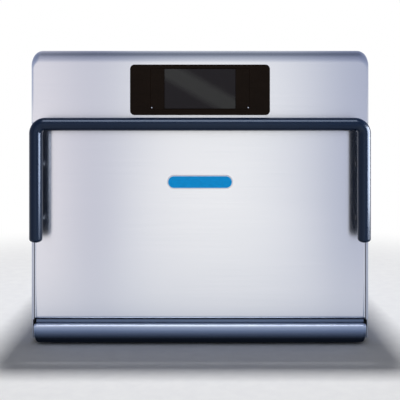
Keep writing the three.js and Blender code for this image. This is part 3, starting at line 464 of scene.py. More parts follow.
@dataclass(frozen=True)
class Fibre(Finish):
    """Woven or felted mineral fibre: crossing threads, matt, with a soft edge."""

    relief: tuple[float, float] = (0.6, 0.4)
    thread: float = 2.4
    threads_each: float = 0.5
    wander: float = 1.5
    loose_share: float = 0.5
    sheen: float = 0.3

    def pattern(self, tree: Tree) -> Source:
        """Threads that cross, roughened by loose fibres.

        Args:
            tree: The node tree.

        Returns:
            The node that gives the value.
        """
        size = (self.thread,) * 3
        weave = {"Vector": placed(tree, size), "Scale": self.threads_each, "Distortion": self.wander}
        threads = add_node(tree, "TexWave", weave | {"Detail": 2.0}, bands_direction="DIAGONAL")
        loose = grains(tree, size, detail=4.0)
        return add_node(tree, "Mix", {"Factor": self.loose_share, "A": threads.outputs["Fac"], "B": loose})

    def extras(self, tree: Tree) -> dict[str, object]:
        """Adds the soft edge light of fibres."""
        return {"Sheen Weight": self.sheen}


@dataclass(frozen=True)
class Stacked(Finish):
    """Thin plates pressed together: close dark lines in the gaps between them."""

    metallic: float = 0.7
    relief: tuple[float, float] = (0.5, 0.2)
    plate: float = 1.5
    wander: float = 0.4

    def pattern(self, tree: Tree) -> Source:
        """One band for each plate. The real ones are 0.5 mm thick, too fine to show.

        Args:
            tree: The node tree.

        Returns:
            The node that gives the value.
        """
        plates = placed(tree, (self.plate,) * 3)
        bands = {"Vector": plates, "Scale": ONE_BAND, "Distortion": self.wander}
        return add_node(tree, "TexWave", bands, bands_direction="Y").outputs["Fac"]


# The front's sheets: bright and silky, with reflections drawn out upwards.
STAINLESS = BrushedSteel("Brushed stainless steel", "#EFEFF1", "#E9EAED", 0.2, 0.23)
# Brushed sheet on the sides and the top: duller than the front, with a broader gleam.
STAINLESS_SIDES = BrushedSteel(
    "Brushed stainless steel, sides", "#DFE1E5", "#CDD1D8", 0.34, 0.42, grain=Direction.DEEP
)
STAINLESS_TOP = BrushedSteel(
    "Brushed stainless steel, top", "#DFE1E5", "#CDD1D8", 0.34, 0.42, spread=Direction.DEEP
)
# The cover low at the front: the door's stainless, tinted cooler and darker as a painted reflection of the
# floor and its shade.
NOSE_STEEL_TINTED_AS_REFLECTION = BrushedSteel(
    "Blued brushed stainless steel", "#D8E2F3", "#CCD7E9", 0.22, 0.28, cloud_share=0.3, draw=0.6
)
# The lip in the gap under the door: stainless painted dark slate as the gap's painted shade.
LIP_STEEL_PAINTED_SHADE = BrushedSteel(
    "Dulled brushed stainless steel", "#6F7E94", "#64738A", 0.3, 0.38, cloud_share=0.3, draw=0.6
)
# Turned and pressed fittings: small sharp glints.
BRIGHT_STEEL = BrushedSteel(
    "Polished stainless steel", "#D8DADE", "#C4C8CF", 0.16, 0.24, line_width=0.8, draw=0.3
)
# Hidden sheets: cool and dull, without an image in them.
PLATED_STEEL = RolledSteel("Zinc-plated steel sheet", "#B4B8BC", "#9DA2A8", 0.42, 0.55)
# The chamber's walls: smooth and slightly warm.
CHAMBER_STEEL = RolledSteel("Smooth stainless chamber sheet", "#C2C1BC", "#AFAEA8", 0.26, 0.36)
# Rack and guard wire: bright lines along each rod.
RACK_WIRE = RolledSteel("Electropolished steel wire", "#D4D4D2", "#BFC0BF", 0.18, 0.28, mottle=6.0)
# Nearly black navy, with a clear blue highlight along the tube.
TUBE_COAT = CoatedTube("Gloss navy coated tube", "#030C1B", "#030A18", 0.2, 0.24)
# Warm black with a weak, even gloss.
PANEL_GLOSS = GlossPanel("Back-printed acrylic panel", "#140B05", "#100803", 0.16, 0.24, specular=0.06)
# Charcoal glass, a little lighter than the panel round it, with a painted sheen across it.
SCREEN_GLASS = DisplayGlass(
    "Unlit display glass", "#2F2F2F", "#191619", 0.2, 0.34, smear=46.0, specular=0.14
)
# A clear strong blue with a soft gloss.
ENAMEL = GlossPanel("Vitreous enamel, blue", "#0590D4", "#0484C6", 0.2, 0.28, smear=9.0)
# Matt black that greys at its edges.
RUBBER = Moulded("Nitrile rubber", "#232325", "#171719", 0.7, 0.85, sheen=0.25)
# Satin black.
NYLON = Moulded("Black glass-filled nylon", "#2A2B2E", "#1E1F22", 0.48, 0.62)
# Cream felt, quite matt.
BLANKET = Fibre("Needled glass-fibre blanket", "#E4E0D4", "#C9C3B2", 0.85, 0.95, thread=4.0)
# A grey braid round the door's inner panel.
GASKET = Fibre("Woven glass-fibre gasket", "#8F8F8C", "#5F605F", 0.75, 0.9)
# Silvery grey with a grain.
CAST_ALUMINIUM = CastMetal("Die-cast aluminium", "#A9ACB0", "#8B8E93", 0.42, 0.58)
# Brown-grey from heat, with coarse scale.
SHEATH = CastMetal("Oxidised heater sheath", "#6A625A", "#3F3A36", 0.45, 0.62, grit=3.0)
# Satin green board.
SOLDER_MASK = Moulded("Green solder mask", "#2A7A48", "#1C5C35", 0.32, 0.45, texture=2.5)
# Dark brown varnish over close plate edges.
LAMINATIONS = Stacked("Varnished iron laminations", "#6A625A", "#37322D", 0.45, 0.6)
# Chalky tan.
CERAMIC = CastMetal("Coated ceramic block", "#9B8970", "#74654F", 0.8, 0.92, metallic=0.0, grit=2.2)


@dataclass(frozen=True)
class Block:
    """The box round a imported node, in millimetres."""

    low: Point
    high: Point

    @classmethod
    def of(cls, node: str) -> "Block":
        """Returns the box round this node."""
        return cls(*(tuple(part / MM for part in corner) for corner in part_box(node)))

    @property
    def size(self) -> Point:
        """Returns its width, depth and height."""
        return tuple(high - low for low, high in zip(self.low, self.high))

    @property
    def middle(self) -> Point:
        """Returns its middle."""
        return tuple((low + high) / 2 for low, high in zip(self.low, self.high))


def ring_of(outline: Outline, y: float) -> Ring:
    """Returns an outline seen from the front as a ring at this depth."""
    return [(x, y, z) for x, z in outline]


def arc(middle: tuple[float, float], radius: float, start: float, end: float, steps: int) -> Outline:
    """Lays points on an arc.

    Args:
        middle: Its middle.
        radius: Its radius.
        start: Where it starts, in quarter turns.
        end: Where it ends, in quarter turns.
        steps: How many steps it takes.

    Returns:
        Its points.
    """
    turns = [(start + (end - start) * step / steps) * math.pi / 2 for step in range(steps + 1)]
    return [(middle[0] + radius * math.cos(turn), middle[1] + radius * math.sin(turn)) for turn in turns]


def round_outline(width: float, height: float, radius: float, steps: int = 8) -> Outline:
    """Draws an outline with round corners round the origin.

    Args:
        width: Its full width.
        height: Its full height.
        radius: The corner radius.
        steps: How many steps each corner takes.

    Returns:
        Its points, anticlockwise from the right.
    """
    reach = max(min(radius, width / 2, height / 2), 0.0)
    across, up = width / 2 - reach, height / 2 - reach
    middles = [(across, up), (-across, up), (-across, -up), (across, -up)]
    corners = [arc(middle, reach, turn, turn + 1, steps) for turn, middle in enumerate(middles)]
    return [point for corner in corners for point in corner]


def plate_ring(size: Point, middle: Point, y: float, inset: float = 0.0, steps: int = 8) -> Ring:
    """Draws an upright ring with round corners.

    Args:
        size: Width, height and corner radius.
        middle: A point whose X and Z are its middle's.
        y: Its depth.
        inset: How far it is drawn in all round.
        steps: How many steps each corner takes.

    Returns:
        The ring.
    """
    width, height, corner = size
    outline = round_outline(width - 2 * inset, height - 2 * inset, corner - inset, steps)
    return [(middle[0] + across, y, middle[2] + up) for across, up in outline]


def edge_roll(radius: float, steps: int = 5) -> list[tuple[float, float]]:
    """Follows a rounded edge from its side to its face.

    Args:
        radius: The edge's radius.
        steps: How many steps it takes.

    Returns:
        How far it has drawn in, and how deep it is, at each step.
    """
    turns = [step / steps * math.pi / 2 for step in range(steps + 1)]
    return [(radius * (1 - math.cos(turn)), radius * (1 - math.sin(turn))) for turn in turns]


def circle(middle: Vector, side: Vector, other: Vector, radius: float, sides: int) -> Ring:
    """Draws a round ring.

    Args:
        middle: Its middle.
        side: The way to its first point.
        other: The way to the point a quarter turn on.
        radius: Its radius.
        sides: How many sides it has.

    Returns:
        The ring.
    """
    turns = [step / sides * math.tau for step in range(sides)]
    spokes = [side * math.cos(turn) * radius + other * math.sin(turn) * radius for turn in turns]
    return [tuple(middle + spoke) for spoke in spokes]


def loft(rings: list[Ring], closed: bool = False) -> Shape:
    """Joins rings with the same number of points by quads, and fills the ends.

    Args:
        rings: The rings, in order.
        closed: Whether the last ring joins the first, so that there are no ends.

    Returns:
        The vertices and the faces.
    """
    count = len(rings[0])
    faces = []
    for span in range(len(rings) if closed else len(rings) - 1):
        here = span * count
        there = (span + 1) % len(rings) * count
        for step in range(count):
            after = (step + 1) % count
            faces.append([here + step, here + after, there + after, there + step])
    if not closed:
        faces.append(list(range(count))[::-1])
        faces.append([(len(rings) - 1) * count + step for step in range(count)])
    return [point for ring in rings for point in ring], faces


def joined(shapes: list[Shape]) -> Shape:
    """Puts several shapes in one.

    Args:
        shapes: The shapes.

    Returns:
        The one shape.
    """
    points: list[Point] = []
    faces: list[list[int]] = []
    for more_points, more_faces in shapes:
        start = len(points)
        points.extend(more_points)
        faces.extend([[start + corner for corner in face] for face in more_faces])
    return points, faces


def block_shape(low: Point, high: Point) -> Shape:
    """Makes a block.

    Args:
        low: Its lowest corner.
        high: Its highest corner.

    Returns:
        The shape.
    """
    outline = [(low[0], low[2]), (high[0], low[2]), (high[0], high[2]), (low[0], high[2])]
    return loft([ring_of(outline, low[1]), ring_of(outline, high[1])])


def raised_plate(size: Point, box: Block, front: float, back: float, edge: float) -> Shape:
    """Makes an upright plate with round corners and a rounded front edge.

    Args:
        size: Width, height and corner radius.
        box: The box that it has its middle in.
        front: Y of its front face.
        back: Y of its back face.
        edge: Radius of the front edge.

    Returns:
        The shape.
    """
    rings = [plate_ring(size, box.middle, back)]
    rings += [plate_ring(size, box.middle, front + depth, inset) for inset, depth in edge_roll(edge)]
    return loft(rings)


def turned(profile: Outline, foot: Point, axis: Direction, sides: int) -> Shape:
    """Turns a round piece about an axis.

    Args:
        profile: Radius and distance along the axis, from its foot to its end.
        foot: Where the axis starts.
        axis: Which way it runs.
        sides: How many sides a ring has.

    Returns:
        The shape.
    """
    along, side = Vector(axis.value), axis.beside
    middles = [Vector(foot) + along * distance for _, distance in profile]
    return loft([
        circle(middle, side, along.cross(side), radius, sides)
        for middle, (radius, _) in zip(middles, profile)
    ])


def swept(path: list[Point], radius: float, sides: int, dome: float = 0.0, closed: bool = False) -> Shape:
    """Sweeps a round bar along a path.

    Args:
        path: The points of its centre line.
        radius: The bar's radius.
        sides: How many sides it has.
        dome: How far each end is domed.
        closed: Whether it joins up with itself.

    Returns:
        The shape.
    """
    stations = [Vector(point) for point in path]
    last = len(stations) - 1
    spread = Vector(Direction.UPRIGHT.value)
    rings = []
    for here, point in enumerate(stations):
        before = stations[here - 1 if here or closed else 0]
        after = stations[(here + 1) % len(stations) if here < last or closed else last]
        along = (after - before).normalized()
        if abs(along.dot(spread)) > NEAR_SPREAD_SHARE or here == 0:
            deep = abs(along.y) < NEAR_DEEP_SHARE
            spread = Vector((Direction.DEEP if deep else Direction.UPRIGHT).value)
        spread = (spread - along * spread.dot(along)).normalized()
        shares = [(1.0, 0.0)]
        if dome and here in (0, last):
            turns = [step / DOME_STEPS * math.pi / 2 for step in range(DOME_STEPS + 1)]
            shares = [(max(math.cos(turn), DOME_TIP_SHARE), math.sin(turn)) for turn in turns]
            if here == 0:
                shares = [(size, -out) for size, out in reversed(shares)]
        for size, out in shares:
            middle = point + along * out * dome
            rings.append(circle(middle, spread, along.cross(spread), radius * size, sides))
    return loft(rings, closed)


def new_object(name: str, shape: Shape) -> bpy.types.Object:
    """Puts a shape in the scene.

    Args:
        name: The object's name.
        shape: Its vertices in millimetres and its faces.

    Returns:
        The new object.
    """
    points, faces = shape
    mesh = bpy.data.meshes.new(name)
    mesh.from_pydata([tuple(part * MM for part in point) for point in points], [], faces)
    made = bpy.data.objects.new(name, mesh)
    bpy.context.scene.collection.objects.link(made)
    return made


def face_outwards(mesh: bpy.types.Mesh) -> None:
    """Welds a closed mesh and turns every face of it outwards.

    Args:
        mesh: The mesh.
    """
    work = bmesh.new()
    work.from_mesh(mesh)
    bmesh.ops.remove_doubles(work, verts=work.verts, dist=SAME_POINT * MM)
    bmesh.ops.recalc_face_normals(work, faces=work.faces)
    work.to_mesh(mesh)
    work.free()


def flatten_faces(piece: bpy.types.Object) -> None:
    """Ends a piece's modifiers with the one that keeps its flat faces looking flat.

    Args:
        piece: The piece.
    """
    earlier = piece.modifiers.get("shading")
    if earlier is not None:
        piece.modifiers.remove(earlier)
    piece.modifiers.new("shading", "WEIGHTED_NORMAL").keep_sharp = True


def shade(piece: bpy.types.Object, crease: float) -> None:
    """Shades a piece smooth round its curves, and keeps its flat faces flat.

    Args:
        piece: The piece.
        crease: The angle in degrees above which an edge stays sharp.
    """
    piece.data.shade_smooth()
    piece.data.set_sharp_from_angle(angle=math.radians(crease))
    flatten_faces(piece)


def make_piece(
    name: str, shape: Shape, finish: Finish, body: str, crease: float = CREASE
) -> bpy.types.Object:
    """Makes one visible piece that rides on a body.

    Args:
        name: The piece's name.
        shape: Its vertices in millimetres and its faces.
        finish: What it is made of.
        body: The body that it moves with.
        crease: The angle in degrees above which an edge stays sharp.

    Returns:
        The new object.
    """
    made = new_object(name, shape)
    made.data.materials.append(finish.material())
    face_outwards(made.data)
    shade(made, crease)
    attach(made, body)
    log.info("%s: %s, rides on %s", name, finish.name, body)
    return made


def cut_out(target: bpy.types.Object, shape: Shape, crease: float = CREASE) -> None:
    """Cuts a closed shape out of a piece.

    Args:
        target: The piece.
        shape: The shape that is taken away, in millimetres.
        crease: The angle in degrees above which an edge of the result stays sharp.
    """
    cutter = new_object("cutter", shape)
    mesh = cutter.data
    face_outwards(mesh)
    change = target.modifiers.new("opening", "BOOLEAN")
    change.operation = "DIFFERENCE"
    change.solver = "EXACT"
    change.object = cutter
    graph = bpy.context.evaluated_depsgraph_get()
    cut = bpy.data.meshes.new_from_object(target.evaluated_get(graph))
    target.modifiers.clear()
    target.data = cut
    bpy.data.objects.remove(cutter)
    bpy.data.meshes.remove(mesh)
    shade(target, crease)


def soften(piece: bpy.types.Object, width: float) -> None:
    """Rounds a piece's sharp edges.

    Args:
        piece: The piece.
        width: How wide the rounding is, in millimetres.
    """
    bevel = piece.modifiers.new("edges", "BEVEL")
    bevel.width = width * MM
    bevel.segments = SOFT_STEPS
    bevel.limit_method = "ANGLE"
    bevel.angle_limit = math.radians(SOFTENED_ABOVE)
    flatten_faces(piece)


def dress(node: str, finish: Finish, crease: float = NODE_CREASE) -> bpy.types.Object:
    """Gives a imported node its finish, smooth where it is round and crisp at its edges.

    Args:
        node: The node's name.
        finish: What it is made of.
        crease: The angle in degrees above which an edge stays sharp.

    Returns:
        The node's object.
    """
    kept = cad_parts[node]
    if not kept.data.materials:
        kept.data.materials.append(None)
    for place in range(len(kept.data.materials)):
        kept.data.materials[place] = finish.material()
    kept.data.polygons.foreach_set("use_smooth", [True] * len(kept.data.polygons))
    kept.modifiers.new("weld", "WELD").merge_threshold = SAME_PACKED_POINT * MM
    kept.modifiers.new("creases", "EDGE_SPLIT").split_angle = math.radians(crease)
    kept.modifiers.new("shading", "WEIGHTED_NORMAL")
    log.info("%s: %s", node, finish.name)
    return kept


def dress_all(finish: Finish, *nodes: str) -> None:
    """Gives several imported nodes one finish."""
    for node in nodes:
        dress(node, finish)


def lit_group(name: str) -> bpy.types.Collection:
    """Returns the group of pieces that some lamps are for, made at its first use."""
    label = f"{name}_pieces"
    return bpy.data.collections.get(label) or bpy.data.collections.new(label)


@dataclass
class ScrewHead:
    """A pan-head machine screw with a cross recess."""

    radius: float = 3.6
    height: float = 1.6
    rim_share: float = 0.25
    crown_share: float = 0.45
    crown_steps: int = 4
    sides: int = 20
    recess_width: float = 0.9
    recess_length: float = 3.8
    recess_depth: float = 0.9

    def build(self, name: str, place: Point, axis: Direction, body: str) -> None:
        """Makes the head.

        Args:
            name: The piece's name.
            place: The middle of the face that it is screwed on.
            axis: The way that it stands out.
            body: The body that it moves with.
        """
        rim = self.height * self.rim_share
        crown = arc((0.0, 0.0), 1.0, 0, 1, self.crown_steps)
        flat = 1 - self.crown_share
        profile = [(self.radius, 0.0)] + [
            (self.radius * (flat + self.crown_share * out), rim + (self.height - rim) * up)
            for out, up in crown
        ]
        head = make_piece(name, turned(profile, place, axis, self.sides), BRIGHT_STEEL, body)
        along, side = Vector(axis.value), axis.beside
        top = Vector(place) + along * self.height
        deep = along * self.recess_depth
        for first, second in ((side, along.cross(side)), (along.cross(side), side)):
            reach = first * self.recess_length / 2 + second * self.recess_width / 2
            corners = (top - reach - deep, top + reach + deep)
            low, high = (tuple(choose(parts) for parts in zip(*corners)) for choose in (min, max))
            cut_out(head, block_shape(low, high))


@dataclass
class Handle:
    """The navy tube over the top of the door and down its sides, on four posts in the same coat."""

    tube_radius: float = 12.0
    tube_sides: int = 40
    bend_radius: float = 17.0
    bend_steps: int = 14
    dome: float = 7.0
    post_radius: float = 5.4
    post_sides: int = 28
    collar_radius: float = 7.0
    collar_length: float = 2.4
    collar_edge: float = 0.7

    def path(self) -> list[Point]:
        """Lays out the tube's centre line.

        Returns:
            Its points, up the left arm, across and down the right.
        """
        box = Block.of("door_handle")
        x = box.high[0] - self.tube_radius
        bend = box.high[2] - self.tube_radius - self.bend_radius
        inner = x - self.bend_radius
        foot = box.low[2] + self.dome
        left = arc((-inner, bend), self.bend_radius, 2, 1, self.bend_steps)
        right = arc((inner, bend), self.bend_radius, 1, 0, self.bend_steps)
        return ring_of([(-x, foot), *left, *right, (x, foot)], box.middle[1])

    def build(self) -> None:
        """Makes the tube and its posts."""
        bar = swept(self.path(), self.tube_radius, self.tube_sides, self.dome)
        tube = make_piece("handle_tube", bar, TUBE_COAT, "door", WIRE_CREASE)
        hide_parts("door_handle")
        lit_group("handle").objects.link(tube)
        for level in ("upper", "lower"):
            for side in ("left", "right"):
                self.build_post(f"{level}_{side}_handle_post")

    def build_post(self, node: str) -> None:
        """Makes one post with a collar against the door.

        Args:
            node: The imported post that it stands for.
        """
        box = Block.of(node)
        length = box.size[1]
        collar = length - self.collar_length
        profile = [
            (self.post_radius, 0.0),
            (self.post_radius, collar),
            (self.collar_radius - self.collar_edge, collar),
            (self.collar_radius, collar + self.collar_edge),
            (self.collar_radius, length),
        ]
        foot = (box.middle[0], box.low[1], box.middle[2])
        shape = turned(profile, foot, Direction.DEEP, self.post_sides)
        post = make_piece(f"{node}_turned", shape, TUBE_COAT, "door")
        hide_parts(node)
        lit_group("handle").objects.link(post)


@dataclass
class Door:
    """The brushed pan over the door's front, with the badge plate and the inner panel behind."""

    sheet: float = 1.5
    corner: float = 4.0
    corner_steps: int = 4
    roll: float = 6.5
    roll_steps: int = 8
    side_reach: float = 0.7
    pin_hole: float = 4.4
    pin_sides: int = 24
    badge_rim: float = 1.9
    badge_edge: float = 0.6
    badge_rise: float = 0.35
    badge_seat: float = 1.0

    def build(self) -> None:
        """Makes the pan and the badge, and dresses what is behind them."""
        self.build_pan()
        self.build_badge()
        dress("door_inner_panel", CHAMBER_STEEL)
        dress("door_seal", GASKET)
        dress_all(PLATED_STEEL, "left_hinge_arm", "right_hinge_arm")

    def build_pan(self) -> None:
        """Makes the folded pan, whose front edges roll back, with holes for the hinge pins."""
        box = Block.of("door_skin")
        size = (box.size[0] + 2 * self.side_reach, box.size[2], self.corner)
        front, back = box.low[1], box.high[1]
        sheet = self.sheet
        inside = [
            (sheet + inset, front + sheet + depth)
            for inset, depth in reversed(edge_roll(self.roll - sheet, self.roll_steps))
        ]
        outside = [(inset, front + depth) for inset, depth in edge_roll(self.roll, self.roll_steps)]
        rings = [
            plate_ring(size, box.middle, y, inset, self.corner_steps)
            for inset, y in [*inside, (sheet, back), (0.0, back), *outside]
        ]
        pan = make_piece("door_pan", loft(rings), STAINLESS, "door", ROUND_CREASE)
        pin = Block.of("left_hinge_pin").middle
        hole = [(self.pin_hole, 0.0), (self.pin_hole, size[0] + 4 * sheet)]
        foot = (box.low[0] - 2 * sheet, pin[1], pin[2])
        cut_out(pan, turned(hole, foot, Direction.ACROSS, self.pin_sides), ROUND_CREASE)
        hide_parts("door_skin")

    def build_badge(self) -> None:
        """Makes a plain enamelled plate with a bright rim."""
        box = Block.of("badge_plate")
        width, _, height = box.size
        face = box.low[1]
        rim = raised_plate((width, height, height / 2), box, face, box.high[1], self.badge_edge)
        plate = make_piece("badge_rim", rim, BRIGHT_STEEL, "door")
        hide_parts("badge_plate")
        width, height = width - 2 * self.badge_rim, height - 2 * self.badge_rim
        rise = self.badge_rise
        enamel = raised_plate((width, height, height / 2), box, face - rise, face + self.badge_seat, rise)
        make_piece("badge_enamel", enamel, ENAMEL, "door")


@dataclass
class ControlPanel:
    """The fascia with its rolled top, the gloss panel let into it, and the display."""

    sheet: float = 1.5
    roll: float = 25.0
    roll_steps: int = 18
    corner: float = 18.0
    corner_steps: int = 8
    side_roll: float = 5.0
    lip: float = 4.0
    bezel_corner: float = 8.5
    bezel_edge: float = 1.1
    bezel_crease: float = 25.0
    frame_width: float = 187.0
    frame_height: float = 78.0
    frame_step: float = 0.8
    frame_bevel: float = 0.6
    frame_corner: float = 2.0
    pocket_gap: float = 0.3
    pocket_depth: float = 4.3
    glass_edge: float = 0.5
    glass_corner: float = 1.2
    pin_side: float = 91.0
    pin_drop: float = 35.7
    pin_radius: float = 1.3
    pin_sides: int = 16
    pin_root: float = 0.4
    pin_rise: float = 0.2
    pin_tip: float = 0.5

    def build(self) -> None:
        """Makes the fascia, the gloss panel and the display."""
        self.build_fascia()
        self.build_bezel()
        self.build_pins()
        self.build_screen()
        dress("control_board", SOLDER_MASK)

    def section(self, depth: float, inset: float) -> Outline:
        """Draws the fascia's outline at a depth behind its face.

        Args:
            depth: How far behind the face.
            inset: How far inside the outer skin.

        Returns:
            Its points, seen from the front.
        """
        box = Block.of("front_fascia")
        roll, side = self.roll - inset, self.side_roll - inset
        top = box.high[2] - inset - roll + math.sqrt(roll**2 - max(roll - depth, 0.0)**2)
        drawn = inset + side - math.sqrt(side**2 - max(side - depth, 0.0)**2)
        half, bottom, corner = box.high[0] - drawn, box.low[2] + drawn, self.corner - drawn
        right = arc((half - corner, top - corner), corner, 0, 1, self.corner_steps)
        left = arc((corner - half, top - corner), corner, 1, 2, self.corner_steps)
        return [(half, bottom), *right, *left, (-half, bottom)]

    def build_fascia(self) -> None:
        """Makes the fascia as a shell, with an opening for the gloss panel."""
        box = Block.of("front_fascia")
        turns = [step / self.roll_steps * math.pi / 2 for step in range(self.roll_steps + 1)]
        inner = [(self.roll - self.sheet) * (1 - math.cos(turn)) for turn in turns]
        outer = [self.roll * (1 - math.cos(turn)) for turn in turns]
        face, back, depth = box.low[1], box.high[1], box.size[1]
        rings = [ring_of(self.section(drop, self.sheet), face + self.sheet + drop) for drop in inner]
        rings += [ring_of(self.section(depth, inset), back) for inset in (self.sheet, 0.0)]
        rings += [ring_of(self.section(drop, 0.0), face + drop) for drop in reversed(outer)]
        fascia = make_piece(
            "fascia_shell", loft(rings), STAINLESS, "oven_body", ROUND_CREASE
        )
        bezel = Block.of("control_bezel")
        opening = [
            plate_ring((bezel.size[0], bezel.size[2], self.bezel_corner), bezel.middle, y, self.lip)
            for y in (face - 2 * self.sheet, face + 2 * self.sheet)
        ]
        cut_out(fascia, loft(opening), ROUND_CREASE)
        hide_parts("front_fascia")

    def build_bezel(self) -> None:
        """Makes the gloss panel with its sunk frame and the pocket for the display."""
        box, screen = Block.of("control_bezel"), Block.of("touch_screen")
        face, step = box.low[1], box.low[1] + self.frame_step
        seat = Block.of("front_fascia").low[1] - self.pocket_gap
        size = (box.size[0], box.size[2], self.bezel_corner)
        inside = 2 * (self.lip + self.pocket_gap)
        body = (size[0] - inside, size[1] - inside, self.bezel_corner - self.lip)
        rings = [plate_ring(body, box.middle, box.high[1]), plate_ring(body, box.middle, seat)]
        rings.append(plate_ring(size, box.middle, seat))
        rings += [
            plate_ring(size, box.middle, face + depth, inset)
            for inset, depth in edge_roll(self.bezel_edge)
        ]
        slope = 2 * self.frame_bevel
        gap = 2 * self.pocket_gap
        pocket = (screen.size[0] + gap, screen.size[2] + gap, self.glass_corner)
        for shape, y in (
            ((self.frame_width, self.frame_height, self.frame_corner), face),
            ((self.frame_width - slope, self.frame_height - slope, self.frame_corner), step),
            (pocket, step),
            (pocket, step + self.pocket_depth),
        ):
            rings.append(plate_ring(shape, screen.middle, y))
        bezel = make_piece(
            "gloss_panel", loft(rings), PANEL_GLOSS, "oven_body", self.bezel_crease
        )
        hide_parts("control_bezel")

    def build_pins(self) -> None:
        """Makes the two bright pins low in the frame."""
        y = Block.of("control_bezel").low[1] + self.frame_step
        z = Block.of("touch_screen").middle[2] - self.pin_drop
        radius = self.pin_radius
        profile = [(radius, self.pin_root), (radius, -self.pin_rise), (radius / 2, -self.pin_tip)]
        for side in Side:
            pin = turned(profile, (side.value * self.pin_side, y, z), Direction.DEEP, self.pin_sides)
            name = f"frame_pin_{side.name.lower()}"
            make_piece(name, pin, BRIGHT_STEEL, "oven_body")

    def build_screen(self) -> None:
        """Makes the display's glass."""
        box = Block.of("touch_screen")
        size = (box.size[0], box.size[2], self.glass_corner)
        shape = raised_plate(size, box, box.low[1], box.high[1], self.glass_edge)
        glass = make_piece("display_glass", shape, SCREEN_GLASS, "oven_body")
        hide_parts("touch_screen")


@dataclass
class NoseDrawer:
    """The curved cover under the door with its crisp upper edge, the lip on it and the air filter."""

    wall: float = 2.0
    corner: float = 8.0
    corner_shares: tuple[float, ...] = (0.0, 0.04, 0.12, 0.25, 0.42, 0.65, 1.0)
    end_roll: float = 3.0
    upper_radius: float = 5.0
    curve_reach: float = 20.0
    curve_rise: float = 36.0
    round_steps: int = 10
    side_reach: float = 3.0
    top_drop: float = 1.6
    slot_count: int = 12
    slot_share: float = 0.6
    slot_depth: float = 4.0
    slot_back: float = 3.5
    lip_inset: float = 14.2
    lip_height: float = 4.4
    lip_end: float = -1.0
    lip_edge: float = 0.5

    def section(self, from_end: float, inset: float, back: float) -> Outline:
        """Draws the cover's section.

        Args:
            from_end: How far from the nearer end the section is.
            inset: How far inside the outer skin.
            back: Y of its open back.

        Returns:
            Its Y and Z points, from the upper back round the front to the lower back.
        """
        box = Block.of("nose_trim")
        lift, drawn = (
            radius - math.sqrt(radius**2 - max(radius - from_end, 0.0)**2)
            for radius in (self.corner, self.end_roll)
        )
        top = box.high[2] - self.top_drop - inset - drawn
        bottom = box.low[2] + inset + max(lift, drawn)
        front = box.low[1] + inset + drawn
        upper = self.upper_radius - inset
        reach = self.curve_reach - inset
        rise = min(self.curve_rise - inset, top - bottom - upper)
        curve = arc((1.0, 1.0), 1.0, 2, 3, self.round_steps)
        return [
            (back, top),
            *arc((front + upper, top - upper), upper, 1, 2, self.round_steps),
            *[(front + reach * y, bottom + rise * z) for y, z in curve],
            (back, bottom),
        ]

    def bar(self, inset: float, back: float) -> Shape:
        """Makes the cover's outer or inner form, from end to end.

        Args:
            inset: How far inside the outer skin.
            back: Y of its open back.

        Returns:
            The shape.
        """
        half = Block.of("nose_trim").high[0] + self.side_reach - inset
        steps = [share * self.corner for share in self.corner_shares]
        places = [(-1, step) for step in steps] + [(1, step) for step in reversed(steps)]
        return loft([
            [(side * (half - step), y, z) for y, z in self.section(step, inset, back)]
            for side, step in places
        ])

    def build(self) -> None:
        """Makes the cover and its lip, and dresses the filter behind them."""
        box = Block.of("nose_trim")
        bar = self.bar(0.0, box.high[1])
        cover = make_piece("nose_cover", bar, NOSE_STEEL_TINTED_AS_REFLECTION, "filter_drawer", ROUND_CREASE)
        cut_out(cover, self.bar(self.wall, box.high[1] + 2 * self.wall), ROUND_CREASE)
        self.cut_slots(cover, box)
        self.build_lip(box)
        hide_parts("nose_trim")
        lit_group("nose").objects.link(cover)
        dress("air_filter", NYLON)

    def cut_slots(self, cover: bpy.types.Object, box: Block) -> None:
        """Cuts the row of air slots along the cover's foot.

        Args:
            cover: The cover.
            box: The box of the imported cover.
        """
        pitch = box.size[0] / (self.slot_count + 1)
        reach = pitch * self.slot_share / 2
        middle = box.high[1] - self.slot_back
        front, back = middle - self.slot_depth / 2, middle + self.slot_depth / 2
        foot, roof = box.low[2] - self.wall, box.low[2] + 2 * self.wall
        for slot in range(self.slot_count):
            x = box.low[0] + (slot + 1) * pitch
            cut_out(cover, block_shape((x - reach, front, foot), (x + reach, back, roof)), ROUND_CREASE)

    def build_lip(self, box: Block) -> None:
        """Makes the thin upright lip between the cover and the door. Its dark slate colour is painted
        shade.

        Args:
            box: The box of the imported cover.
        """
        front = box.low[1] + self.lip_inset
        low = (box.low[0] + self.lip_end, front, box.high[2] - self.wall / 2)
        high = (box.high[0] - self.lip_end, front + self.wall, box.high[2] + self.lip_height)
        lip = make_piece("nose_lip", block_shape(low, high), LIP_STEEL_PAINTED_SHADE, "filter_drawer")
        soften(lip, self.lip_edge)


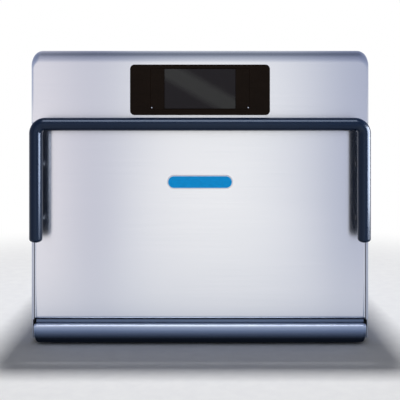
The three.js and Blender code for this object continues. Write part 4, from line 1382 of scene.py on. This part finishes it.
@dataclass
class SidePanel:
    """A side's folded sheet with its air slots and countersunk screws."""

    side: Side
    sheet: float = 1.5
    fold: float = 3.0
    fold_steps: int = 6
    edge: float = 0.4
    slot_width: float = 6.0
    slot_length: float = 60.0
    slot_pitch: float = 14.0
    slot_count: int = 9
    slot_low: float = 60.0
    slot_middle: float = 235.5
    slot_steps: int = 5
    screw_from_end: float = 42.0
    screw_from_foot: float = 28.0
    screw_from_top: float = 14.0
    screw_sides: int = 20
    sink_radius: float = 4.4
    sink_depth: float = 1.1
    head_edge: float = 0.35
    head_inset: float = 1.6
    head_depth: float = 0.2

    def build(self) -> None:
        """Makes the panel and its screws."""
        node = f"{self.side.name.lower()}_side_panel"
        box = Block.of(node)
        right = self.side is Side.RIGHT
        outside, folded_in = (box.high[0], box.low[0]) if right else (box.low[0], box.high[0])
        section = self.section(outside, folded_in, box)
        sheet = loft([[(x, y, z) for x, y in section] for z in (box.low[2], box.high[2])])
        panel = make_piece(f"{node}_sheet", sheet, STAINLESS_SIDES, "oven_body")
        self.cut_ends(panel, box)
        openings = self.slots(outside)
        front = Block.of("top_cover").low[1] + self.screw_from_end
        for y in (front, box.middle[1], box.high[1] - self.screw_from_end):
            for z in (box.low[2] + self.screw_from_foot, box.high[2] - self.screw_from_top):
                name = f"{node}_screw_{round(y)}_{round(z)}".replace("-", "m")
                openings.append(self.sink_screw(name, (outside, y, z)))
        cut_out(panel, joined(openings))
        soften(panel, self.edge)
        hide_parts(node)

    def section(self, outside: float, folded_in: float, box: Block) -> Outline:
        """Draws the panel's section: a sheet that is folded in at the front.

        Args:
            outside: X of its outer face.
            folded_in: X of the folded edge.
            box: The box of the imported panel.

        Returns:
            Its X and Y points.
        """
        front, back, sign = box.low[1], box.high[1], self.side.value
        bend = outside - sign * self.fold
        outer = arc((0.0, 0.0), self.fold, 0, 1, self.fold_steps)
        inner = arc((0.0, 0.0), self.fold - self.sheet, 1, 0, self.fold_steps)
        return [
            (outside, back),
            *[(bend + sign * x, front + self.fold - y) for x, y in outer],
            (folded_in, front),
            (folded_in, front + self.sheet),
            *[(bend + sign * x, front + self.fold - y) for x, y in inner],
            (outside - sign * self.sheet, back),
        ]

    def cut_ends(self, panel: bpy.types.Object, box: Block) -> None:
        """Cuts the panel back behind the nose cover and behind the fascia.

        Args:
            panel: The panel.
            box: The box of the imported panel.
        """
        beyond = 2 * self.sheet
        face, cover = Block.of("front_fascia").low, Block.of("top_cover").low
        nose_top = Block.of("nose_trim").high[2] + (box.low[1] - face[1])
        fascia_foot = face[2] - (cover[2] - box.high[2])
        left, right = box.low[0] - beyond, box.high[0] + beyond
        for y, lower, upper in (
            (Block.of("base_pan").low[1], box.low[2] - beyond, nose_top),
            (cover[1], fascia_foot, box.high[2] + beyond),
        ):
            cut_out(panel, block_shape((left, box.low[1] - beyond, lower), (right, y, upper)))

    def slots(self, outside: float) -> list[Shape]:
        """Lays out the air slots.

        Args:
            outside: X of the panel's outer face.

        Returns:
            One shape for each slot, to be cut out.
        """
        outline = round_outline(self.slot_length, self.slot_width, self.slot_width / 2, self.slot_steps)
        ends = (outside - 2 * self.sheet, outside + 2 * self.sheet)
        levels = [self.slot_low + slot * self.slot_pitch for slot in range(self.slot_count)]
        return [
            loft([[(x, self.slot_middle + along, z + up) for along, up in outline] for x in ends])
            for z in levels
        ]

    def sink_screw(self, name: str, place: Point) -> Shape:
        """Makes one countersunk screw.

        Args:
            name: The screw's name.
            place: Its middle, on the panel's outer face.

        Returns:
            The dish that it sits in, to be cut out of the panel.
        """
        radius, depth, inwards = self.sink_radius, self.sink_depth, -self.side.value
        rim = (radius - depth, depth * inwards)
        edge = (radius - self.head_edge, self.head_edge * inwards)
        face = (radius - self.head_inset, self.head_depth * inwards)
        head = turned([rim, edge, face], place, Direction.ACROSS, self.screw_sides)
        make_piece(name, head, BRIGHT_STEEL, "oven_body")
        dish = [(radius + self.sheet, -self.sheet * inwards), (radius, 0.0), rim]
        return turned(dish, place, Direction.ACROSS, self.screw_sides)


@dataclass
class Foot:
    """A rubber foot with ribs round it and a hollow sole."""

    sides: int = 40
    rib: float = 0.8
    rib_shares: tuple[float, ...] = (0.3, 0.5, 0.7)
    sole_share: float = 0.6
    hollow_share: float = 0.45
    hollow_depth_share: float = 0.2

    def build(self, node: str) -> None:
        """Makes the foot.

        Args:
            node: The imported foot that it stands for.
        """
        box = Block.of(node)
        radius, height, rib = box.size[0] / 2, box.size[2], self.rib
        profile = [
            (radius * self.hollow_share, height * self.hollow_depth_share),
            (radius * self.sole_share, 0.0),
            (radius - 2 * rib, 0.0),
            (radius - rib, rib),
        ]
        here, there = radius - rib, radius
        for share in self.rib_shares:
            profile += [(here, height * share), (there, height * share + rib)]
            here, there = there, here
        profile.append((radius, height))
        foot = (box.middle[0], box.middle[1], box.low[2])
        shape = turned(profile, foot, Direction.UPRIGHT, self.sides)
        pad = make_piece(f"{node}_pad", shape, RUBBER, "oven_body", ROUND_CREASE)
        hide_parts(node)


@dataclass
class FingerGuard:
    """Wire rings over the cooling fan's outlet, on spokes that stand a quarter turn apart."""

    wire: float = 1.1
    wire_sides: int = 8
    radius: float = 54.0
    ring_shares: tuple[float, ...] = (0.25, 0.5, 0.75, 1.0)
    ring_steps: int = 40
    spoke_start: float = 13.5
    spoke_end: float = 62.0
    first_spoke: float = 0.5
    spokes: int = 4

    def build(self) -> None:
        """Makes the rings, and the spokes in front of them."""
        x, _, z = Block.of("cooling_fan_frame").middle
        wire, sides = self.wire, self.wire_sides
        y = Block.of("rear_panel").high[1] + 2 * wire
        rings = []
        for share in self.ring_shares:
            ring = arc((x, z), self.radius * share, 0, 4, self.ring_steps)[:-1]
            rings.append(swept(ring_of(ring, y), wire, sides, closed=True))
        make_piece("fan_guard_rings", joined(rings), RACK_WIRE, "oven_body")
        steps = self.spokes - 1
        first, last = self.first_spoke, self.first_spoke + steps
        starts, ends = (
            ring_of(arc((x, z), reach, first, last, steps), y - wire)
            for reach in (self.spoke_start, self.spoke_end)
        )
        spokes = [swept([start, end], wire, sides) for start, end in zip(starts, ends)]
        make_piece("fan_guard_spokes", joined(spokes), RACK_WIRE, "oven_body")


@dataclass
class Casing:
    """The sheets round the oven, with its feet and what stands out at the rear."""

    top_edge: float = 0.5
    rear_screws: tuple[float, ...] = (-300.0, -150.0, 0.0, 150.0, 300.0)
    rear_screw_inset: float = 9.0
    upper_row_share: float = 0.95

    def build(self) -> None:
        """Makes the side panels, feet, screws and finger guard, and dresses the other sheets."""
        for side in Side:
            SidePanel(side).build()
        soften(dress("top_cover", STAINLESS_TOP), self.top_edge)
        dress("front_frame", CHAMBER_STEEL)
        dress_all(PLATED_STEEL, "rear_panel", "base_pan", "electronics_shelf")
        dress_all(PLATED_STEEL, "left_hinge_bracket", "right_hinge_bracket")
        dress_all(BRIGHT_STEEL, "left_hinge_pin", "right_hinge_pin")
        dress_all(NYLON, "cord_gland", "door_switch", "switch_plunger")
        for side in ("left", "right"):
            for end in ("front", "rear"):
                Foot().build(f"{end}_{side}_foot")
        self.build_rear_screws()
        FingerGuard().build()

    def build_rear_screws(self) -> None:
        """Makes the screws along the rear panel's top and bottom."""
        box = Block.of("rear_panel")
        inset = self.rear_screw_inset
        rows = (("low", box.low[2] + inset, 1.0), ("high", box.high[2] - inset, self.upper_row_share))
        for row, z, share in rows:
            for count, x in enumerate(self.rear_screws):
                place = (x * share, box.high[1], z)
                ScrewHead().build(f"rear_screw_{row}_{count}", place, Direction.DEEP, "oven_body")


@dataclass
class Chamber:
    """The cooking chamber with its jet plates, heater, rack and insulation."""

    wire: float = 3.0
    wire_sides: int = 12
    rod: float = 1.8
    rod_sides: int = 10
    rods: int = 15
    bend: float = 12.0
    bend_steps: int = 6
    coil_crease: float = 60.0

    def build(self) -> None:
        """Dresses the chamber's sheets and the heater, and makes the wire rack."""
        dress_all(CHAMBER_STEEL, "cook_chamber", "upper_jetplate", "lower_jetplate")
        dress_all(CHAMBER_STEEL, "left_rack_rail", "right_rack_rail")
        dress("chamber_insulation", BLANKET)
        dress("catalytic_converter", CERAMIC)
        dress("heater_coil", SHEATH, self.coil_crease)
        self.build_rack()

    def build_rack(self) -> None:
        """Makes the rack: a bent wire frame with rods welded across it."""
        box = Block.of("wire_rack")
        half = box.high[0] - self.wire
        front, back = box.low[1] + self.wire, box.high[1] - self.wire
        middle, z = (front + back) / 2, box.middle[2]
        outline = round_outline(2 * half, back - front, self.bend, self.bend_steps)
        path = [(x, middle + along, z) for x, along in outline]
        shapes = [swept(path, self.wire, self.wire_sides, closed=True)]
        pitch = 2 * half / (self.rods + 1)
        for rod in range(1, self.rods + 1):
            x = rod * pitch - half
            shapes.append(swept([(x, front, z), (x, back, z)], self.rod, self.rod_sides))
        rack = make_piece("rack_grid", joined(shapes), RACK_WIRE, "rack", WIRE_CREASE)
        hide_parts("wire_rack")


@dataclass
class Machinery:
    """What blows, heats and cools behind the chamber: it shows through slots and when opened."""

    levels: tuple[str, ...] = ("upper", "lower")
    sides: tuple[str, ...] = ("left", "right")

    def build(self) -> None:
        """Dresses each piece in its own metal or plastic."""
        for level in self.levels:
            dress_all(CAST_ALUMINIUM, f"{level}_blower_wheel", f"{level}_blower_motor")
        for side in self.sides:
            dress(f"{side}_capacitor", CAST_ALUMINIUM)
            dress(f"{side}_magnetron", PLATED_STEEL)
            dress(f"{side}_transformer", LAMINATIONS)
        dress_all(CAST_ALUMINIUM, "mode_stirrer", "stirrer_motor")
        dress_all(PLATED_STEEL, "blower_housing", "launch_waveguide")
        dress_all(NYLON, "cooling_fan_frame", "cooling_fan_wheel")


@dataclass(frozen=True)
class Lamp:
    """A soft box: where it hangs, its width, height and power, what mirrors it and what it lights."""

    name: str
    place: Point
    width: float
    height: float
    power: float
    mirrored: bool = True
    only: str = ""
    spares_floor: bool = False


@dataclass
class Studio:
    """A pale floor, a white surround, soft lamps and the camera."""

    camera_distance: float = 1370.0
    camera_height: float = 415.0
    framed_height: float = 273.0
    lens: float = 65.3
    sensor: float = 36.0
    white: str = "#FFFFFF"
    floor_reach: float = 30000.0
    floor_grain: float = 25.0
    floor_stops: Stops = ((0.3, "#E8E8E9"), (0.7, "#EDEDED"))
    floor_roughness: float = 0.85
    floor_specular: float = 0.2
    fade_start: float = 220.0
    fade_end: float = 900.0
    # The mirrored floor's painted contact shadow: how far it reaches, and its colours from the oven
    # outwards.
    contact_reach: float = 222.0
    contact_stops: Stops = ((0.0, "#11151C"), (0.3, "#8896AE"), (0.7, "#E2E6ED"), (1.0, "#FFFFFF"))
    even_colour: str = "#DADDE5"
    even_start: float = 250.0
    even_end: float = 1500.0
    fan_share: float = 0.25
    fan_source: float = 1070.0
    fan_fade: float = 120.0
    fan_half: float = 0.5
    mirror_strength: float = 1.06
    soft_colour: str = "#F4F6FA"
    soft_light: float = 0.2
    lamps: tuple[Lamp, ...] = (
        Lamp("overhead", (0.0, 490.0, 3500.0), 400.0, 500.0, 105.0, mirrored=False),
        Lamp("front", (0.0, -2700.0, 800.0), 1600.0, 1000.0, 34.0, mirrored=False, spares_floor=True),
        Lamp("over_handle", (0.0, -1300.0, 2250.0), 1800.0, 1100.0, 45.0, only="handle"),
        Lamp("beside_handle", (2100.0, -650.0, 420.0), 1900.0, 1600.0, 215.0, only="handle"),
        Lamp("over_nose", (0.0, -1300.0, 2250.0), 1800.0, 1100.0, 12.5, only="nose"),
    )
    target: Point = (0.0, 0.0, 300.0)
    across_stops: Stops = (
        (0.0, "#B4BBD0"),
        (0.28, "#F8F4F8"),
        (0.31, "#E3E1E8"),
        (0.348, "#C4C5D5"),
        (0.37, "#CACCDA"),
        (0.405, "#EAECF2"),
        (0.443, "#FBFBFC"),
        (0.5, "#FFFFFF"),
        (0.58, "#FBFCFD"),
        (0.616, "#F4F5F9"),
        (0.653, "#E0E3EC"),
        (0.672, "#CED2DF"),
        (0.69, "#BAC0D3"),
        (0.72, "#B2B8CE"),
        (1.0, "#B4BBD0"),
    )
    upward_stops: Stops = (
        (0.0, "#FFFFFF"),
        (0.15, "#F8F9FC"),
        (0.47, "#CBD0DD"),
        (0.88, "#A4ABBC"),
        (1.0, "#6A7282"),
    )

    def build(self) -> None:
        """Makes the camera, the floor, the surround and the lamps."""
        bpy.context.scene.view_settings.view_transform = "Standard"
        self.place_camera()
        self.lay_floor()
        self.light_surround()
        for lamp in self.lamps:
            self.hang(lamp)

    def place_camera(self) -> None:
        """Sets the camera level with the handle's bar and square to the door.

        The bar hides its own image in the door, so the camera is as high as the bar, and the
        picture is shifted down to the middle of the oven.
        """
        data = bpy.data.cameras.new("camera")
        data.lens = self.lens
        data.sensor_width = self.sensor
        drop = (self.framed_height - self.camera_height) / self.camera_distance
        data.shift_y = drop * self.lens / self.sensor
        camera = bpy.data.objects.new("camera", data)
        front = Block.of("door_skin").low[1]
        camera.location = Vector((0, front - self.camera_distance, self.camera_height)) * MM
        camera.rotation_euler = (math.pi / 2, 0, 0)
        bpy.context.scene.collection.objects.link(camera)
        bpy.context.scene.camera = camera

    def lay_floor(self) -> None:
        """Lays a matt pale floor that turns into the white surround further off."""
        reach = self.floor_reach
        corners = [(-reach, -reach, 0.0), (reach, -reach, 0.0), (reach, reach, 0.0), (-reach, reach, 0.0)]
        floor = new_object("floor", (corners, [[0, 1, 2, 3]]))
        made = bpy.data.materials.new("Matt studio floor")
        self.finish_floor(empty_tree(made))
        floor.data.materials.append(made)

    def finish_floor(self, tree: Tree) -> None:
        """Builds the floor's material: matt and pale as seen, and where it is mirrored, an emission with
        painted shadow and shading.

        Args:
            tree: The floor's node tree.
        """
        place = add_node(tree, "TexCoord").outputs["Object"]
        distance = self.from_oven(tree, place)
        fade = {"Value": distance, "From Min": self.fade_start * MM, "From Max": self.fade_end * MM}
        faded = add_node(tree, "MapRange", fade, interpolation_type="SMOOTHSTEP")
        share = add_node(tree, "Math", {0: faded, 1: seen_or_mirrored(tree)}, operation="MULTIPLY")
        grain = grains(tree, (self.floor_grain,) * 3, detail=4.0)
        matt = {
            "Base Color": colour_along(tree, grain, self.floor_stops),
            "Roughness": self.floor_roughness,
            "Specular IOR Level": self.floor_specular,
        }
        near = add_node(tree, "BsdfPrincipled", matt)
        white = add_node(tree, "Emission", {"Color": linear(self.white), "Strength": 1.0})
        far = add_node(tree, "MixShader", {0: share, 1: near, 2: white})
        # Seen mirrored, the floor glows with painted shadow and shading instead of its lit colour.
        shaded = self.mirrored_floor(tree, place, distance)
        mirrored = add_node(tree, "Emission", {"Color": shaded, "Strength": self.mirror_strength})
        glossy = add_node(tree, "LightPath").outputs["Is Glossy Ray"]
        mix = add_node(tree, "MixShader", {0: glossy, 1: far, 2: mirrored})
        add_node(tree, "OutputMaterial", {"Surface": mix})

    def from_oven(self, tree: Tree, place: Socket) -> Socket:
        """Works out how far a point of the floor is from the oven's sides.

        Args:
            tree: The floor's node tree.
            place: The point of the floor, in metres.

        Returns:
            The distance.
        """
        front = Block.of("nose_trim").low[1]
        side, back, _ = Block.of("right_side_panel").high
        middle = Vector((0.0, (front + back) / 2, 0.0)) * MM
        half = Vector((side, (back - front) / 2, 0.0)) * MM
        reach = add_node(tree, "VectorMath", {0: place, 1: middle}, operation="SUBTRACT")
        reach = add_node(tree, "VectorMath", {0: reach}, operation="ABSOLUTE")
        reach = add_node(tree, "VectorMath", {0: reach, 1: half}, operation="SUBTRACT")
        reach = add_node(tree, "VectorMath", {0: reach, 1: Vector()}, operation="MAXIMUM")
        return add_node(tree, "VectorMath", {0: reach}, operation="LENGTH").outputs["Value"]

    def mirrored_floor(self, tree: Tree, place: Socket, distance: Socket) -> Socket:
        """Paints the mirrored floor's light: a painted contact shadow, dark where the oven stands, and
        painted shading fanned out further off.

        Args:
            tree: The floor's node tree.
            place: The point of the floor, in metres.
            distance: Its distance from the oven's sides, in metres.

        Returns:
            The colour.
        """
        parts = add_node(tree, "SeparateXYZ", {"Vector": place}).outputs
        # A painted contact shadow: the mirrored floor darkens towards the oven.
        close = add_node(tree, "MapRange", {"Value": distance, "From Max": self.contact_reach * MM})
        spread = {
            "Value": distance,
            "From Min": self.even_start * MM,
            "From Max": self.even_end * MM,
            "To Min": self.fan_share,
        }
        front = Block.of("nose_trim").low[1]
        fade = {"Value": parts["Y"], "From Min": front * MM, "From Max": (front - self.fan_fade) * MM}
        fan_inputs = {0: add_node(tree, "MapRange", spread), 1: add_node(tree, "MapRange", fade)}
        evened = {
            0: add_node(tree, "Math", fan_inputs, operation="MULTIPLY"),
            FIRST_COLOUR: linear(self.even_colour),
            SECOND_COLOUR: self.fan(tree, parts),
        }
        even = add_node(tree, "Mix", evened, data_type="RGBA").outputs[MIXED_COLOUR]
        return multiplied(tree, even, colour_along(tree, close, self.contact_stops))

    def fan(self, tree: Tree, parts: bpy.types.bpy_prop_collection) -> Node:
        """Paints the mirrored floor's shading from side to side, as the surround behind it is shaded.

        Args:
            tree: The floor's node tree.
            parts: The outputs that give the X and Y of the point of the floor.

        Returns:
            The node that gives the colour.
        """
        away = add_node(tree, "Math", {0: self.fan_source * MM, 1: parts["Y"]}, operation="SUBTRACT")
        return self.across(tree, add_node(tree, "Math", {0: parts["X"], 1: away}, operation="DIVIDE"))

    def across(self, tree: Tree, turn: Source) -> Node:
        """Colours the mirrored light by how far to the side it comes from.

        Args:
            tree: The node tree.
            turn: The sideways part of the direction.

        Returns:
            The node that gives the colour.
        """
        reach = {"Value": turn, "From Min": -self.fan_half, "From Max": self.fan_half}
        return colour_along(tree, add_node(tree, "MapRange", reach), self.across_stops)

    def light_surround(self) -> None:
        """Makes the surround: white where it is seen, and softer as light.

        Mirrored, it is white in front, greyer to the sides and dark overhead, as in a studio
        with one large soft screen.
        """
        world = bpy.data.worlds.new("surround")
        bpy.context.scene.world = world
        tree = empty_tree(world)
        place = add_node(tree, "TexCoord").outputs["Generated"]
        parts = add_node(tree, "SeparateXYZ", {"Vector": place}).outputs
        upwards = colour_along(tree, parts["Z"], self.upward_stops)
        mirrored = multiplied(tree, self.across(tree, parts["X"]), upwards)
        bright, soft, white = (
            add_node(tree, "Background", {"Color": colour, "Strength": strength})
            for colour, strength in (
                (mirrored, self.mirror_strength),
                (linear(self.soft_colour), self.soft_light),
                (linear(self.white), 1.0),
            )
        )
        lit = add_node(tree, "MixShader", {0: seen_or_mirrored(tree), 1: soft, 2: bright})
        camera = add_node(tree, "LightPath").outputs["Is Camera Ray"]
        seen = add_node(tree, "MixShader", {0: camera, 1: lit, 2: white})
        add_node(tree, "OutputWorld", {"Surface": seen})

    def hang(self, lamp: Lamp) -> None:
        """Hangs one lamp, turned to the oven.

        Args:
            lamp: The lamp.
        """
        data = bpy.data.lights.new(f"{lamp.name}_lamp", "AREA")
        data.shape = "RECTANGLE"
        data.size = lamp.width * MM
        data.size_y = lamp.height * MM
        data.energy = lamp.power
        hung = bpy.data.objects.new(f"{lamp.name}_lamp", data)
        hung.location = Vector(lamp.place) * MM
        towards = Vector(self.target) * MM - hung.location
        hung.rotation_euler = towards.to_track_quat("-Z", "Y").to_euler()
        hung.visible_glossy = lamp.mirrored
        if lamp.only:
            hung.light_linking.receiver_collection = lit_group(lamp.only)
        if lamp.spares_floor:
            group = lit_group("spared")
            group.objects.link(bpy.data.objects["floor"])
            group.collection_objects[0].light_linking.link_state = "EXCLUDE"
            hung.light_linking.receiver_collection = group
        bpy.context.scene.collection.objects.link(hung)


def multiplied(tree: Tree, first: Source, second: Source) -> Socket:
    """Multiplies two colours.

    Args:
        tree: The node tree.
        first: One colour.
        second: The other.

    Returns:
        The product.
    """
    inputs = {0: 1.0, FIRST_COLOUR: first, SECOND_COLOUR: second}
    return add_node(tree, "Mix", inputs, data_type="RGBA", blend_type="MULTIPLY").outputs[MIXED_COLOUR]


def seen_or_mirrored(tree: Tree) -> Node:
    """Finds out whether the camera sees a point, directly, mirrored or through glass.

    Args:
        tree: The node tree.

    Returns:
        The node that gives one where it does, or else nought.
    """
    rays = add_node(tree, "LightPath").outputs
    bent = {0: rays["Is Glossy Ray"], 1: rays["Is Transmission Ray"]}
    mirrored = add_node(tree, "Math", bent, operation="MAXIMUM")
    return add_node(tree, "Math", {0: rays["Is Camera Ray"], 1: mirrored}, operation="MAXIMUM")


def main() -> None:
    """Dresses the oven, sub-assembly by sub-assembly."""
    logging.basicConfig(level=logging.INFO, format="%(name)s: %(message)s")
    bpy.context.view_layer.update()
    assemblies = (
        Studio(),
        Casing(),
        ControlPanel(),
        Door(),
        Handle(),
        NoseDrawer(),
        Chamber(),
        Machinery(),
    )
    for assembly in assemblies:
        assembly.build()
        log.info("%s is done", type(assembly).__name__)


if __name__ == "__main__":
    main()
